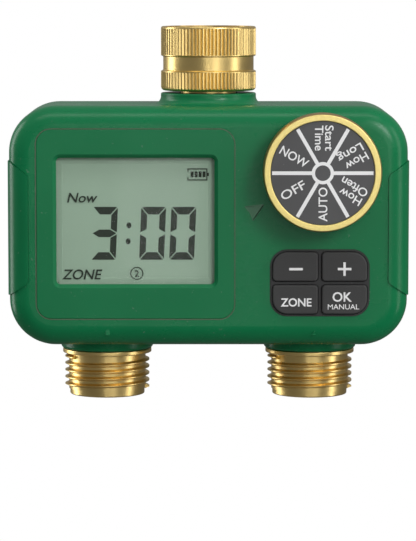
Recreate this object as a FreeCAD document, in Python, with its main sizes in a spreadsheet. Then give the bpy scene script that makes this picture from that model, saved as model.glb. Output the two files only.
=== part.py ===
import FreeCAD, Part
import math
import os
import Sketcher

# Two-outlet drip irrigation timer, in millimetres.
# The origin is the centre of the inlet collar's mouth. +Z points up and the controls face -Y.
# The case is a clamshell that parts at y = 0, the plane of the inlet and outlet axes.

doc = FreeCAD.newDocument("drip_irrigation_timer")
sheet = doc.addObject("Spreadsheet::Sheet", "sizes")

SIZES = {
    # case
    "case_width": 124.6, "case_height": 75.0, "case_top": 24.4, "case_corner": 14.5,
    "front_depth": 24.0, "rear_depth": 20.0, "front_round": 6.5, "rear_round": 5.0,
    "side_wall": 2.4, "front_wall": 3.0, "rear_wall": 2.4, "inner_round": 3.0,
    "neck_radius": 15.1, "neck_height": 3.4, "neck_flare": 2.3, "neck_hole": 9.3,
    "neck_edge": 0.5, "neck_root": 1.5, "skirt_radius": 15.0, "skirt_height": 3.0,
    "skirt_round": 1.0, "skirt_draft": 0.4, "fit_gap": 0.1, "thin_gap": 0.05,
    # side grips
    "grip_raise": 0.45, "grip_sink": 0.6, "grip_inset": 6.3, "grip_top": 17.2,
    "grip_length": 42.0, "grip_slant": 4.2, "grip_gap": 0.05, "grip_corner": 2.0,
    # inlet
    "collar_radius": 15.05, "collar_height": 20.3, "groove_radius": 14.35,
    "groove_top": 9.2, "groove_bottom": 14.1, "knurl_depth": 0.42, "knurl_width": 0.62,
    "knurl_count": 80, "inlet_bore": 13.6, "inlet_depth": 10.6, "collar_seat": 15.9,
    "collar_hole": 9.2, "tail_radius": 8.8, "tail_bore": 6.2, "tail_flange": 11.6,
    "tail_flange_height": 2.0, "tail_bottom": 33.0, "washer_hole": 8.2, "washer_height": 3.0,
    "collar_edge": 0.6, "collar_foot": 1.2, "groove_slant": 0.35, "knurl_end": 0.7,
    "knurl_land": 0.25, "knurl_run_out": 0.15, "tail_edge": 0.4, "tail_land": 3.4,
    "ring_groove_width": 2.0, "ring_groove_depth": 1.3, "ring_seat": 0.62, "ring_wire": 0.66,
    "screen_drop": 8.8, "screen_wall": 0.5, "screen_rim_drop": 1.1, "screen_gap": 0.4,
    "screen_taper": 1.8, "screen_round": 1.5,
    # outlets
    "outlet_spacing": 64.8, "thread_radius": 13.49, "thread_root": 12.25,
    "thread_pitch": 2.209, "thread_turns": 4.6, "flange_radius": 14.15, "flange_height": 1.4,
    "thread_length": 11.6, "pilot_radius": 11.9, "pilot_length": 1.8, "outlet_bore": 9.4,
    "outlet_neck": 11.0, "shell_hole_gap": 0.2, "lock_flange": 13.0, "lock_height": 2.4,
    "spigot_radius": 8.0, "spigot_length": 6.8, "spigot_land": 2.2, "water_bore": 5.0,
    "ring_radius": 0.95, "outlet_edge": 0.3, "pilot_edge": 0.4, "outlet_gap": 0.08,
    "bore_step_top": 1.0, "bore_step_foot": 5.0, "thread_start": 0.35, "thread_bite": 0.15,
    "thread_foot": 0.75, "thread_crest": 0.16,
    # manifold and valves
    "pipe_radius": 7.5, "socket_radius": 10.0, "chamber_radius": 14.0,
    "chamber_bore": 11.8, "chamber_height": 18.0, "seat_radius": 7.0, "seat_drop": 0.6,
    "boss_radius": 11.0, "valve_flange": 28.0, "flange_corner": 2.5, "valve_flange_height": 4.0,
    "screw_offset": 11.4, "bonnet_height": 7.0, "dome_radius": 10.4, "dome_height": 5.4,
    "diaphragm_radius": 12.9, "diaphragm_height": 1.6,
    "tube_radius": 4.6, "tube_wall": 0.5, "tube_height": 25.0, "tube_flange": 7.0,
    "plunger_radius": 3.8, "plunger_length": 17.0, "coil_radius": 10.5,
    "coil_height": 21.5, "spool_wall": 1.2, "coil_gap": 0.15, "winding_sink": 0.9,
    "spring_wire": 0.35, "spring_turns": 5, "spring_inset": 0.9, "spring_seat": 1.6,
    "spring_seat_depth": 2.0, "plunger_tip": 2.2, "plunger_taper": 1.2, "plunger_gap": 0.2,
    "tube_flange_height": 1.4, "tube_round": 0.8, "tube_plug": 3.0, "slide_gap": 0.06,
    "socket_gap": 0.2, "socket_root": 1.5, "socket_drop": 0.6, "chamber_floor": 2.0,
    "pipe_lift": 0.5, "diaphragm_lap": 0.4, "diaphragm_step": 0.2, "bonnet_hole_gap": 0.15,
    "bonnet_screw_bite": 3.4, "lead_radius": 0.55, "lead_pitch": 2.4, "lead_run": 2.2,
    "lead_drop": 2.4,
    # display
    "panel_left": 8.4, "panel_top": 6.8, "panel_width": 62.3, "panel_height": 59.8,
    "panel_corner": 5.0, "panel_sink": 1.6, "panel_gap": 0.35, "window_rise": 0.95,
    "window_width": 49.25, "window_height": 39.5, "window_bevel": 1.1, "window_corner": 1.2,
    "lens_lap": 1.2, "lens_height": 1.1, "lcd_lap": 2.2, "lcd_height": 2.5,
    "panel_edge": 0.25, "lcd_corner": 0.8, "strip_half": 1.0,
    # circuit board
    "board_gap": 3.4, "board_height": 1.6, "board_side": 12.4, "board_top": 7.6,
    "board_bottom": 7.4, "board_corner": 1.0, "board_notch": 14.0, "board_shoulder": 13.6,
    "board_notch_half": 5.0, "board_post_radius": 2.4, "board_post_across": 46.0,
    "board_post_right": 14.3, "board_post_drop": 10.8, "board_post_rise": 11.8,
    "board_post_middle": 36.2, "board_hole_gap": 0.2, "board_screw_length": 4.2,
    "board_screw_room": 3.2,
    # dial
    "dial_right": 27.2, "dial_drop": 20.0, "dial_radius": 17.9, "dial_lift": 0.5,
    "dial_height": 9.6, "dial_ring_radius": 18.3, "dial_ring_hole": 16.05, "dial_ring_drop": 7.6,
    "dial_ring_rise": 0.9, "label_radius": 15.95, "label_height": 0.45, "shaft_radius": 3.0,
    "shaft_gap": 0.05, "switch_size": 15.0, "switch_corner": 1.0, "shaft_grip": 0.02,
    "dial_edge": 0.5, "dial_wall": 1.8, "dial_face_wall": 2.0, "dial_step": 0.6,
    "dial_skirt": 1.2, "dial_shoulder": 3.0, "hub_wall": 2.6, "hub_seat": 3.4, "shaft_end": 0.1,
    "ring_bevel": 0.4, "ring_edge": 0.25, "label_edge": 0.1, "shaft_lift": 0.3,
    # keys
    "keypad_right": 27.6, "keypad_rise": 20.05, "keypad_width": 30.7, "keypad_height": 20.6,
    "keypad_corner": 5.2, "keypad_rim": 0.4, "keypad_web": 0.8, "key_gap": 0.2,
    "key_corner": 1.2, "key_proud": 1.2, "key_height": 3.4, "key_travel": 0.8,
    "keypad_lip": 1.0, "stem_radius": 2.0, "tact_height": 1.4, "mat_height": 0.8,
    "keypad_proud": 0.25, "keypad_ledge": 1.5, "mat_ledge": 1.3, "mat_gap": 0.15,
    "stem_gap": 0.3, "key_edge": 0.55, "tact_radius": 1.9,
    # battery bay and door
    "bay_width": 30.8, "bay_height": 54.0, "bay_top": 12.0, "bay_front": 10.4,
    "bay_wall": 1.5, "bulge_width": 43.0, "bulge_depth": 26.0, "bulge_top": 5.0,
    "bulge_height": 67.8, "bulge_corner": 4.0, "battery_radius": 7.2, "battery_length": 49.0,
    "contact_height": 0.5, "door_height": 2.4, "door_gap": 0.3, "door_width": 39.0,
    "door_tall": 62.5, "door_corner": 3.0, "hinge_radius": 2.1, "pin_radius": 0.9,
    "knuckle_length": 9.0, "hinge_gap": 0.3, "hinge_drop": 7.6,
    "lock_screw_radius": 1.4, "lock_screw_rise": 3.4, "lock_screw_length": 7.0,
    "lock_head_radius": 2.7, "lock_head_height": 1.2, "lock_head_gap": 0.2, "lock_hole_gap": 0.35,
    "lock_hole_depth": 9.0, "lock_post_radius": 3.2, "lock_post_length": 6.0,
    "coin_slot_half": 2.2, "coin_slot_width": 0.8, "coin_slot_depth": 0.6, "lug_length": 3.0,
    "pin_gap": 0.04, "pin_short": 0.2, "arm_drop": 3.0, "arm_gap": 0.35, "arm_sink": 0.2,
    "bulge_round": 1.5, "bay_corner": 2.0, "bay_edge": 0.8, "door_round": 0.9,
    "battery_gap": 0.25, "battery_lift": 2.2, "terminal_radius": 2.75, "terminal_height": 1.2,
    "terminal_sink": 0.6, "cell_edge": 0.5, "cell_foot": 1.0, "contact_half": 5.5,
    "contact_depth": 5.0, "door_seal_inside": 0.5, "door_seal_side": 1.6, "door_seal_end": 1.3,
    "door_seal_corner": 1.2, "door_seal_gap": 0.04,
    # fasteners
    "post_radius": 3.4, "post_inset": 6.8, "post_drop": 15.6, "top_post_x": 24.0,
    "top_post_drop": 9.1, "screw_radius": 1.5, "screw_head": 2.8, "screw_head_height": 2.2,
    "screw_length": 22.0, "screw_seat": 12.0, "gasket_width": 1.0, "gasket_inset": 0.95,
    "gasket_depth": 0.8, "screw_bite": 0.05, "screw_gap": 0.3, "head_gap": 0.2,
    "screw_room": 1.0, "slot_half": 0.35, "seal_break": 5.0, "post_root": 0.5,
    "small_screw": 1.2, "small_head": 2.2, "small_head_height": 1.6,
}


class Value:
    """A size: its number and the sheet expression that gives it."""

    def __init__(self, number, text):
        self.number = number
        self.text = text

    def __add__(self, other):
        other = as_value(other)
        return Value(self.number + other.number, f"({self.text} + {other.text})")

    def __sub__(self, other):
        other = as_value(other)
        return Value(self.number - other.number, f"({self.text} - {other.text})")

    def __mul__(self, other):
        other = as_value(other)
        return Value(self.number * other.number, f"({self.text} * {other.text})")

    def __truediv__(self, other):
        other = as_value(other)
        return Value(self.number / other.number, f"({self.text} / {other.text})")

    def __neg__(self):
        return Value(-self.number, f"(0 - {self.text})")

    def __radd__(self, other):
        return as_value(other) + self

    def __rsub__(self, other):
        return as_value(other) - self

    def __rmul__(self, other):
        return as_value(other) * self


def as_value(size):
    """A plain number as a Value; a Value as it is."""
    if isinstance(size, Value):
        return size
    return Value(float(size), f"({float(size)})")


class Named:
    """Holds one Value per sheet alias."""


S = Named()
for row, (alias, number) in enumerate(SIZES.items(), start=1):
    sheet.set(f"A{row}", alias)
    sheet.set(f"B{row}", str(number))
    sheet.setAlias(f"B{row}", alias)
    setattr(S, alias, Value(float(number), f"sizes.{alias}"))
doc.recompute()

# ---------------------------------------------------------------- shared levels and places
TOP = -S.case_top
BOTTOM = TOP - S.case_height
HALF_WIDTH = S.case_width / 2
MIDDLE = TOP - S.case_height / 2
OUTLET_X = S.outlet_spacing / 2
INNER_FRONT = S.front_depth - S.front_wall
BOARD_FRONT = INNER_FRONT - S.board_gap
BOARD_BACK = BOARD_FRONT - S.board_height
NECK_TOP = TOP + S.neck_height
SKIRT_BOTTOM = BOTTOM - S.skirt_height
TOLERANCE = 1e-4
# a hair between faces that would otherwise meet, a cut's run past a face, a form's run into the next
SLIVER = 0.02
PAST = 0.2
RUN_IN = 1.0

nodes = []


# ---------------------------------------------------------------- modelling helpers
def bind(thing, name, size):
    thing.setExpression(name, as_value(size).text)


def place(thing, x=0, y=0, z=0):
    """Set a piece's Placement from sheet values."""
    for axis, size in zip("xyz", (x, y, z)):
        bind(thing, f"Placement.Base.{axis}", size)


def keep(thing, label):
    """Name a finished sub-part and list it for writing."""
    thing.Label = label
    nodes.append(thing)
    return thing


def new_body(label, x=0, y=0, z=0):
    body = doc.addObject("PartDesign::Body", label)
    place(body, x, y, z)
    return body


def new_sketch(body, role, level=0, across=0):
    """Sketch on one of the body's own origin planes, moved along its normal and along local X."""
    sketch = body.newObject("Sketcher::SketchObject", "outline")
    plane = next(item for item in body.Origin.OriginFeatures if item.Role == role)
    sketch.AttachmentSupport = [(plane, "")]
    sketch.MapMode = "FlatFace"
    bind(sketch, "AttachmentOffset.Base.z", level)
    bind(sketch, "AttachmentOffset.Base.x", across)
    return sketch


def front_view(body, y=0, across=0):
    """Sketch that looks along +Y: its own axes are X and Z."""
    return new_sketch(body, "XZ_Plane", -as_value(y), across)


def plan_view(body, z=0, across=0):
    """Sketch that looks down: its own axes are X and Y."""
    return new_sketch(body, "XY_Plane", z, across)


def pin_down(sketch, item, end, x, z):
    """Hold one point of a sketch at x, z from its origin."""
    for kind, size in (("DistanceX", x), ("DistanceY", z)):
        number = sketch.addConstraint(Sketcher.Constraint(kind, -1, 1, item, end, size.number))
        bind(sketch, f"Constraints[{number}]", size)


def circle(sketch, x, z, radius):
    x, z, radius = as_value(x), as_value(z), as_value(radius)
    centre = FreeCAD.Vector(x.number, z.number, 0)
    item = sketch.addGeometry(Part.Circle(centre, FreeCAD.Vector(0, 0, 1), radius.number))
    number = sketch.addConstraint(Sketcher.Constraint("Radius", item, radius.number))
    bind(sketch, f"Constraints[{number}]", radius)
    pin_down(sketch, item, 3, x, z)


def corner_arc(before, corner, after, radius):
    """Arc that rounds a corner: its circle, where it starts and ends, and which end comes first."""
    to_before = (before - corner).normalize()
    to_after = (after - corner).normalize()
    half = to_before.getAngle(to_after) / 2
    reach = radius / math.tan(half)
    start = corner + to_before * reach
    end = corner + to_after * reach
    centre = corner + (to_before + to_after).normalize() * (radius / math.sin(half))
    left_turn = (corner - before).cross(after - corner).z > 0
    first, last = (start, end) if left_turn else (end, start)
    angles = [math.atan2(point.y - centre.y, point.x - centre.x) for point in (first, last)]
    ring = Part.Circle(centre, FreeCAD.Vector(0, 0, 1), radius)
    return Part.ArcOfCircle(ring, angles[0], angles[1]), start, end, left_turn


def outline(sketch, corners):
    """Closed outline through corners (x, z) or (x, z, radius), where a radius rounds the corner."""
    corners = [tuple(as_value(size) for size in corner) for corner in corners]
    count = len(corners)
    points = [FreeCAD.Vector(corner[0].number, corner[1].number, 0) for corner in corners]
    arcs = {}
    for place_in_list, corner in enumerate(corners):
        if len(corner) == 3:
            arcs[place_in_list] = corner_arc(points[place_in_list - 1], points[place_in_list],
                                             points[(place_in_list + 1) % count],
                                             corner[2].number)
    lines = []
    for place_in_list in range(count):
        following = (place_in_list + 1) % count
        start = arcs[place_in_list][2] if place_in_list in arcs else points[place_in_list]
        end = arcs[following][1] if following in arcs else points[following]
        lines.append(sketch.addGeometry(Part.LineSegment(start, end)))
    for place_in_list, corner in enumerate(corners):
        before = lines[place_in_list - 1]
        after = lines[place_in_list]
        if place_in_list not in arcs:
            sketch.addConstraint(Sketcher.Constraint("Coincident", before, 2, after, 1))
            pin_down(sketch, after, 1, corner[0], corner[1])
            continue
        shape, _, _, left_turn = arcs[place_in_list]
        item = sketch.addGeometry(shape)
        mark = sketch.addGeometry(Part.Point(points[place_in_list]), True)
        entry, leave = (1, 2) if left_turn else (2, 1)
        sketch.addConstraint(Sketcher.Constraint("Tangent", before, 2, item, entry))
        sketch.addConstraint(Sketcher.Constraint("Tangent", item, leave, after, 1))
        sketch.addConstraint(Sketcher.Constraint("PointOnObject", mark, 1, before))
        sketch.addConstraint(Sketcher.Constraint("PointOnObject", mark, 1, after))
        pin_down(sketch, mark, 1, corner[0], corner[1])
        number = sketch.addConstraint(Sketcher.Constraint("Radius", item, corner[2].number))
        bind(sketch, f"Constraints[{number}]", corner[2])


def rectangle(sketch, x, z, width, height, radius=None, radii=None):
    """Rectangle about x, z; one corner radius, or four from lower left anticlockwise."""
    x, z, width, height = as_value(x), as_value(z), as_value(width), as_value(height)
    radii = radii or [radius] * 4
    ends = [(x - width / 2, z - height / 2), (x + width / 2, z - height / 2),
            (x + width / 2, z + height / 2), (x - width / 2, z + height / 2)]
    outline(sketch, [end + ((size,) if size is not None else ())
                     for end, size in zip(ends, radii)])


def extrude(body, sketch, length, direction, cut=False):
    """Pad or pocket towards front (-Y), rear (+Y), up or down."""
    along_normal = direction in ("front", "up")
    before = body.Tip.Shape.Volume if cut else 0
    feature = body.newObject("PartDesign::Pocket" if cut else "PartDesign::Pad", "extrusion")
    feature.Profile = sketch
    bind(feature, "Length", length)
    feature.Reversed = along_normal if cut else not along_normal
    doc.recompute()
    if cut and not feature.Shape.Volume < before - TOLERANCE:
        raise RuntimeError(f"a pocket of {body.Name} cuts nothing")
    return feature


def turn(body, sketch, side=None, cut=False):
    """Revolve a sketch about its own vertical axis, whole or only its front or rear half."""
    before = body.Tip.Shape.Volume if cut else 0
    feature = body.newObject("PartDesign::Groove" if cut else "PartDesign::Revolution", "turning")
    feature.Profile = sketch
    feature.ReferenceAxis = (sketch, ["V_Axis"])
    feature.Angle = 180 if side else 360
    feature.Reversed = side == "front"
    doc.recompute()
    if cut and not feature.Shape.Volume < before - TOLERANCE:
        raise RuntimeError(f"a groove of {body.Name} cuts nothing")
    return feature


def edges_at(shape, axis, level, test=lambda edge: True):
    """Names of the edges that lie flat at one level of an axis."""
    found = []
    for number, edge in enumerate(shape.Edges, start=1):
        box = edge.BoundBox
        low = getattr(box, axis.upper() + "Min")
        high = getattr(box, axis.upper() + "Max")
        if abs(low - level) < 1e-3 and abs(high - level) < 1e-3 and test(edge):
            found.append(f"Edge{number}")
    return found


def dress(body, kind, radius, axis, level, test=lambda edge: True):
    """Fillet or chamfer the edges that lie at one level."""
    base = body.Tip
    names = edges_at(base.Shape, axis, as_value(level).number, test)
    if not names:
        raise RuntimeError(f"no edge of {body.Name} to {kind} at {axis} {as_value(level).number}")
    feature = body.newObject("PartDesign::" + kind, "dressing")
    feature.Base = (base, names)
    bind(feature, "Radius" if kind == "Fillet" else "Size", radius)
    doc.recompute()
    return feature


def turned_part(label, corners, x=0, z=0):
    """A round part: its half section is corners (radius, height[, rounding])."""
    body = new_body(label, x=x, z=z)
    sketch = front_view(body)
    outline(sketch, corners)
    turn(body, sketch)
    return body


def cylinder(name, radius, length, x=0, y=0, z=0, lying=False):
    """Cylinder that stands up from x, y, z, or lies towards the rear from there."""
    thing = doc.addObject("Part::Cylinder", name)
    bind(thing, "Radius", radius)
    bind(thing, "Height", length)
    if lying:
        thing.Placement.Rotation = FreeCAD.Rotation(FreeCAD.Vector(1, 0, 0), -90)
    place(thing, x, y, z)
    return thing


def block(name, low, high):
    """Box between two corners."""
    low = [as_value(size) for size in low]
    high = [as_value(size) for size in high]
    thing = doc.addObject("Part::Box", name)
    for prop, start, end in zip(("Length", "Width", "Height"), low, high):
        bind(thing, prop, end - start)
    place(thing, *low)
    return thing


def cut(name, base, tool):
    thing = doc.addObject("Part::Cut", name)
    thing.Base = base
    thing.Tool = tool
    return thing


def join(name, things):
    thing = doc.addObject("Part::MultiFuse", name)
    thing.Shapes = things
    return thing


def common(name, things):
    thing = doc.addObject("Part::MultiCommon", name)
    thing.Shapes = things
    return thing


def group(label, things):
    """Separate solids that share one node."""
    thing = doc.addObject("Part::Compound", label)
    thing.Links = things
    return keep(thing, label)


# ---------------------------------------------------------------- case
POSTS = ([(side * (HALF_WIDTH - S.post_inset), level)
          for side in (-1, 1)
          for level in (TOP - S.post_drop, BOTTOM + S.post_drop)]
         + [(side * S.top_post_x, TOP - S.top_post_drop) for side in (-1, 1)])
BOARD_POST_X = S.panel_left + S.board_post_across - HALF_WIDTH
BOARD_POSTS = [(BOARD_POST_X, TOP - S.board_post_drop), (BOARD_POST_X, BOTTOM + S.board_post_rise),
               (HALF_WIDTH - S.board_post_right, BOTTOM + S.board_post_middle)]
DIAL_X = S.case_width / 2 - S.dial_right
DIAL_Z = TOP - S.dial_drop
KEYPAD_X = S.case_width / 2 - S.keypad_right
KEYPAD_Z = BOTTOM + S.keypad_rise
PANEL_X = S.panel_left + S.panel_width / 2 - HALF_WIDTH
PANEL_Z = TOP - S.panel_top - S.panel_height / 2
WINDOW_Z = PANEL_Z + S.window_rise
BAY_Z = TOP - S.bay_top - S.bay_height / 2
BULGE_Z = TOP - S.bulge_top - S.bulge_height / 2
DOOR_SCREW_Z = BULGE_Z - S.bulge_height / 2 + S.lock_screw_rise
HINGE_Z = TOP - S.hinge_drop
HINGE_Y = S.bulge_depth + S.door_gap + S.hinge_radius


def half_case(label, side, depth, wall, rounding):
    """One moulded half: rounded box, neck half, outlet skirts, cavity and round openings."""
    body = new_body(label)
    sketch = front_view(body)
    rectangle(sketch, 0, MIDDLE, S.case_width, S.case_height, S.case_corner)
    extrude(body, sketch, depth, side)
    outward = -1 if side == "front" else 1
    dress(body, "Fillet", rounding, "y", depth * outward)
    sketch = front_view(body)
    reach = S.neck_radius + S.neck_flare + RUN_IN
    outline(sketch, [(0, TOP - S.neck_root), (reach, TOP - S.neck_root), (reach, TOP - SLIVER),
                     (S.neck_radius, TOP - SLIVER, S.neck_flare),
                     (S.neck_radius, NECK_TOP, S.neck_edge), (0, NECK_TOP)])
    turn(body, sketch, side)
    for x in (-OUTLET_X, OUTLET_X):
        sketch = front_view(body, across=x)
        outline(sketch, [(0, SKIRT_BOTTOM),
                         (S.skirt_radius - S.skirt_draft, SKIRT_BOTTOM, S.skirt_round),
                         (S.skirt_radius, BOTTOM + S.neck_root), (0, BOTTOM + S.neck_root)])
        turn(body, sketch, side)
    sketch = front_view(body)
    rectangle(sketch, 0, MIDDLE, S.case_width - 2 * S.side_wall,
              S.case_height - 2 * S.side_wall, S.case_corner - S.side_wall)
    extrude(body, sketch, depth - wall, side, cut=True)
    dress(body, "Fillet", S.inner_round, "y", (depth - wall) * outward)
    sketch = plan_view(body, NECK_TOP)
    circle(sketch, 0, 0, S.neck_hole)
    extrude(body, sketch, S.neck_height + S.side_wall + PAST, "down", cut=True)
    for x in (-OUTLET_X, OUTLET_X):
        sketch = plan_view(body, SKIRT_BOTTOM)
        circle(sketch, x, 0, S.outlet_neck + S.shell_hole_gap)
        extrude(body, sketch, S.skirt_height + S.side_wall + PAST, "up", cut=True)
    return body


def grip_outline(sketch, side, gap):
    """Front view of a grip: a long panel whose ends slant to the case's side."""
    inner = side * (HALF_WIDTH - S.grip_inset + gap)
    outer = side * (HALF_WIDTH + S.grip_inset)
    top = TOP - S.grip_top - gap
    bottom = top - S.grip_length + 2 * gap
    drop = S.grip_slant
    rim = side * HALF_WIDTH
    corners = [(inner, bottom + drop, S.grip_corner), (rim, bottom), (outer, bottom), (outer, top),
               (rim, top), (inner, top - drop, S.grip_corner)]
    outline(sketch, corners if side > 0 else corners[::-1])


def case_form(name, grow):
    """The case's outer form made larger by grow on every side, as one solid."""
    body = new_body(name)
    for side, depth in (("front", S.front_depth), ("rear", S.rear_depth)):
        sketch = front_view(body)
        rectangle(sketch, 0, MIDDLE, S.case_width + 2 * grow, S.case_height + 2 * grow,
                  S.case_corner + grow)
        extrude(body, sketch, depth + grow, side)
    for outward, depth, rounding in ((-1, S.front_depth, S.front_round),
                                     (1, S.rear_depth, S.rear_round)):
        dress(body, "Fillet", rounding + grow, "y", (depth + grow) * outward)
    return body


def grip_prism(name, side, gap):
    body = new_body(name)
    for direction, depth in (("front", S.front_depth + S.grip_inset),
                             ("rear", S.rear_depth + S.grip_inset)):
        sketch = front_view(body)
        grip_outline(sketch, side, gap)
        extrude(body, sketch, depth, direction)
    return body


raised_form = case_form("raised_form", S.grip_raise)
sunk_form = case_form("sunk_form", -S.grip_sink)
grip_floor_form = case_form("grip_floor_form", S.grip_gap - S.grip_sink)
recess_tools = []
for side, label in ((-1, "left_side_grip"), (1, "right_side_grip")):
    panel = common(label + "_block", [raised_form, grip_prism(label + "_prism", side, S.grip_gap)])
    keep(cut(label, panel, grip_floor_form), label)
    pocket = common(label + "_room", [case_form(label + "_room_form", 2 * RUN_IN),
                                      grip_prism(label + "_room_prism", side, as_value(0))])
    recess_tools.append(cut(label + "_recess", pocket, sunk_form))

front_body = half_case("front_shell_moulding", "front", S.front_depth, S.front_wall, S.front_round)

# posts for the case screws and the circuit board
sketch = front_view(front_body)
for x, z in POSTS:
    circle(sketch, x, z, S.post_radius)
extrude(front_body, sketch, INNER_FRONT + S.post_root, "front")
sketch = front_view(front_body)
for x, z in POSTS:
    circle(sketch, x, z, S.screw_radius + S.screw_bite)
extrude(front_body, sketch, S.screw_length - S.screw_seat + S.screw_room, "front", cut=True)
sketch = front_view(front_body, -BOARD_FRONT)
for x, z in BOARD_POSTS:
    circle(sketch, x, z, S.board_post_radius)
extrude(front_body, sketch, S.board_gap + S.post_root, "front")
sketch = front_view(front_body, -BOARD_FRONT)
for x, z in BOARD_POSTS:
    circle(sketch, x, z, S.small_screw + S.screw_bite)
extrude(front_body, sketch, S.board_screw_room, "front", cut=True)

# recess for the display surround, and the opening behind it
sketch = front_view(front_body, -S.front_depth)
rectangle(sketch, PANEL_X, PANEL_Z, S.panel_width, S.panel_height, S.panel_corner)
extrude(front_body, sketch, S.panel_sink, "rear", cut=True)
sketch = front_view(front_body, -S.front_depth)
LENS_ROOM = S.lens_lap + S.fit_gap
rectangle(sketch, PANEL_X, WINDOW_Z, S.window_width + 2 * LENS_ROOM,
          S.window_height + 2 * LENS_ROOM, S.window_corner + LENS_ROOM)
extrude(front_body, sketch, S.front_wall + PAST, "rear", cut=True)

# keypad opening and the dial shaft's hole
sketch = front_view(front_body, -S.front_depth)
rectangle(sketch, KEYPAD_X, KEYPAD_Z, S.keypad_width + 2 * S.fit_gap,
          S.keypad_height + 2 * S.fit_gap, S.keypad_corner + S.fit_gap)
extrude(front_body, sketch, S.front_wall + PAST, "rear", cut=True)
sketch = front_view(front_body, -S.front_depth)
circle(sketch, DIAL_X, DIAL_Z, S.shaft_radius + S.shaft_gap)
extrude(front_body, sketch, S.front_wall + PAST, "rear", cut=True)
sketch = front_view(front_body, -S.front_depth)
circle(sketch, DIAL_X, DIAL_Z, S.shaft_radius + 2 * S.ring_radius)
extrude(front_body, sketch, S.ring_radius * 2, "rear", cut=True)

# groove for the seal between the halves
sketch = front_view(front_body)
for inset in (S.gasket_inset, S.gasket_inset + S.gasket_width):
    rectangle(sketch, 0, MIDDLE, S.case_width - 2 * inset, S.case_height - 2 * inset,
              S.case_corner - inset)
extrude(front_body, sketch, S.gasket_depth, "front", cut=True)
keep(cut("front_shell", front_body, join("front_recess_tools", recess_tools)), "front_shell")

rear_body = half_case("rear_shell_moulding", "rear", S.rear_depth, S.rear_wall, S.rear_round)
sketch = front_view(rear_body, S.rear_depth - S.rear_wall)
rectangle(sketch, 0, BULGE_Z, S.bulge_width, S.bulge_height, S.bulge_corner)
extrude(rear_body, sketch, S.bulge_depth - S.rear_depth + S.rear_wall, "rear")
dress(rear_body, "Fillet", S.bulge_round, "y", S.bulge_depth)
sketch = front_view(rear_body, S.bay_front - S.bay_wall)
rectangle(sketch, 0, BAY_Z, S.bay_width + 2 * S.bay_wall, S.bay_height + 2 * S.bay_wall,
          S.bay_corner)
extrude(rear_body, sketch, S.rear_depth - S.bay_front + RUN_IN, "rear")
sketch = front_view(rear_body, S.bulge_depth)
rectangle(sketch, 0, BAY_Z, S.bay_width, S.bay_height, S.bay_edge)
extrude(rear_body, sketch, S.bulge_depth - S.bay_front, "front", cut=True)
sketch = front_view(rear_body, S.rear_depth - S.rear_wall + S.post_root)
for x, z in POSTS:
    circle(sketch, x, z, S.post_radius)
extrude(rear_body, sketch, S.rear_depth - S.rear_wall + S.post_root, "front")
sketch = front_view(rear_body, S.rear_depth)
for x, z in POSTS:
    circle(sketch, x, z, S.screw_radius + S.screw_gap)
extrude(rear_body, sketch, S.rear_depth, "front", cut=True)
sketch = front_view(rear_body, S.rear_depth)
for x, z in POSTS:
    circle(sketch, x, z, S.screw_head + S.head_gap)
extrude(rear_body, sketch, S.rear_depth - S.screw_seat, "front", cut=True)

# boss and hole for the door screw, below the bay
sketch = front_view(rear_body, S.rear_depth)
circle(sketch, 0, DOOR_SCREW_Z, S.lock_post_radius)
extrude(rear_body, sketch, S.lock_post_length, "front")
sketch = front_view(rear_body, S.bulge_depth)
circle(sketch, 0, DOOR_SCREW_Z, S.lock_screw_radius + S.lock_hole_gap)
extrude(rear_body, sketch, S.lock_hole_depth, "front", cut=True)

# hinge lugs at the top of the bulge
HINGE_HALF = 1.5 * S.knuckle_length
LUG_SPANS = [(-HINGE_HALF - S.lug_length, -HINGE_HALF),
             (-0.5 * S.knuckle_length, 0.5 * S.knuckle_length),
             (HINGE_HALF, HINGE_HALF + S.lug_length)]


def knuckles(body, spans):
    """Round hinge knuckles on the pin's axis, each with a web to its own piece."""
    for low, high in spans:
        sketch = new_sketch(body, "YZ_Plane", low)
        circle(sketch, HINGE_Y, HINGE_Z, S.hinge_radius)
        feature = body.newObject("PartDesign::Pad", "knuckle")
        feature.Profile = sketch
        bind(feature, "Length", as_value(high) - low)
    doc.recompute()


def drill_hinge(body, radius):
    reach = HINGE_HALF + S.lug_length + RUN_IN
    sketch = new_sketch(body, "YZ_Plane", -reach)
    circle(sketch, HINGE_Y, HINGE_Z, radius)
    before = body.Tip.Shape.Volume
    feature = body.newObject("PartDesign::Pocket", "pin_hole")
    feature.Profile = sketch
    bind(feature, "Length", 2 * reach)
    feature.Reversed = True
    doc.recompute()
    if not feature.Shape.Volume < before - TOLERANCE:
        raise RuntimeError("the pin hole cuts nothing")


for low, high in LUG_SPANS:
    sketch = new_sketch(rear_body, "YZ_Plane", low)
    tip = HINGE_Y + S.hinge_radius
    bend = S.hinge_radius - S.fit_gap
    outline(sketch, [(S.bulge_depth - S.post_root, HINGE_Z - S.hinge_radius),
                     (tip, HINGE_Z - S.hinge_radius, bend),
                     (tip, HINGE_Z + S.hinge_radius, bend),
                     (S.bulge_depth - S.post_root, HINGE_Z + S.hinge_radius)])
    feature = rear_body.newObject("PartDesign::Pad", "lug")
    feature.Profile = sketch
    bind(feature, "Length", high - low)
doc.recompute()
drill_hinge(rear_body, S.pin_radius + S.pin_gap)
keep(cut("rear_shell", rear_body, join("rear_recess_tools", recess_tools)), "rear_shell")

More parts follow.
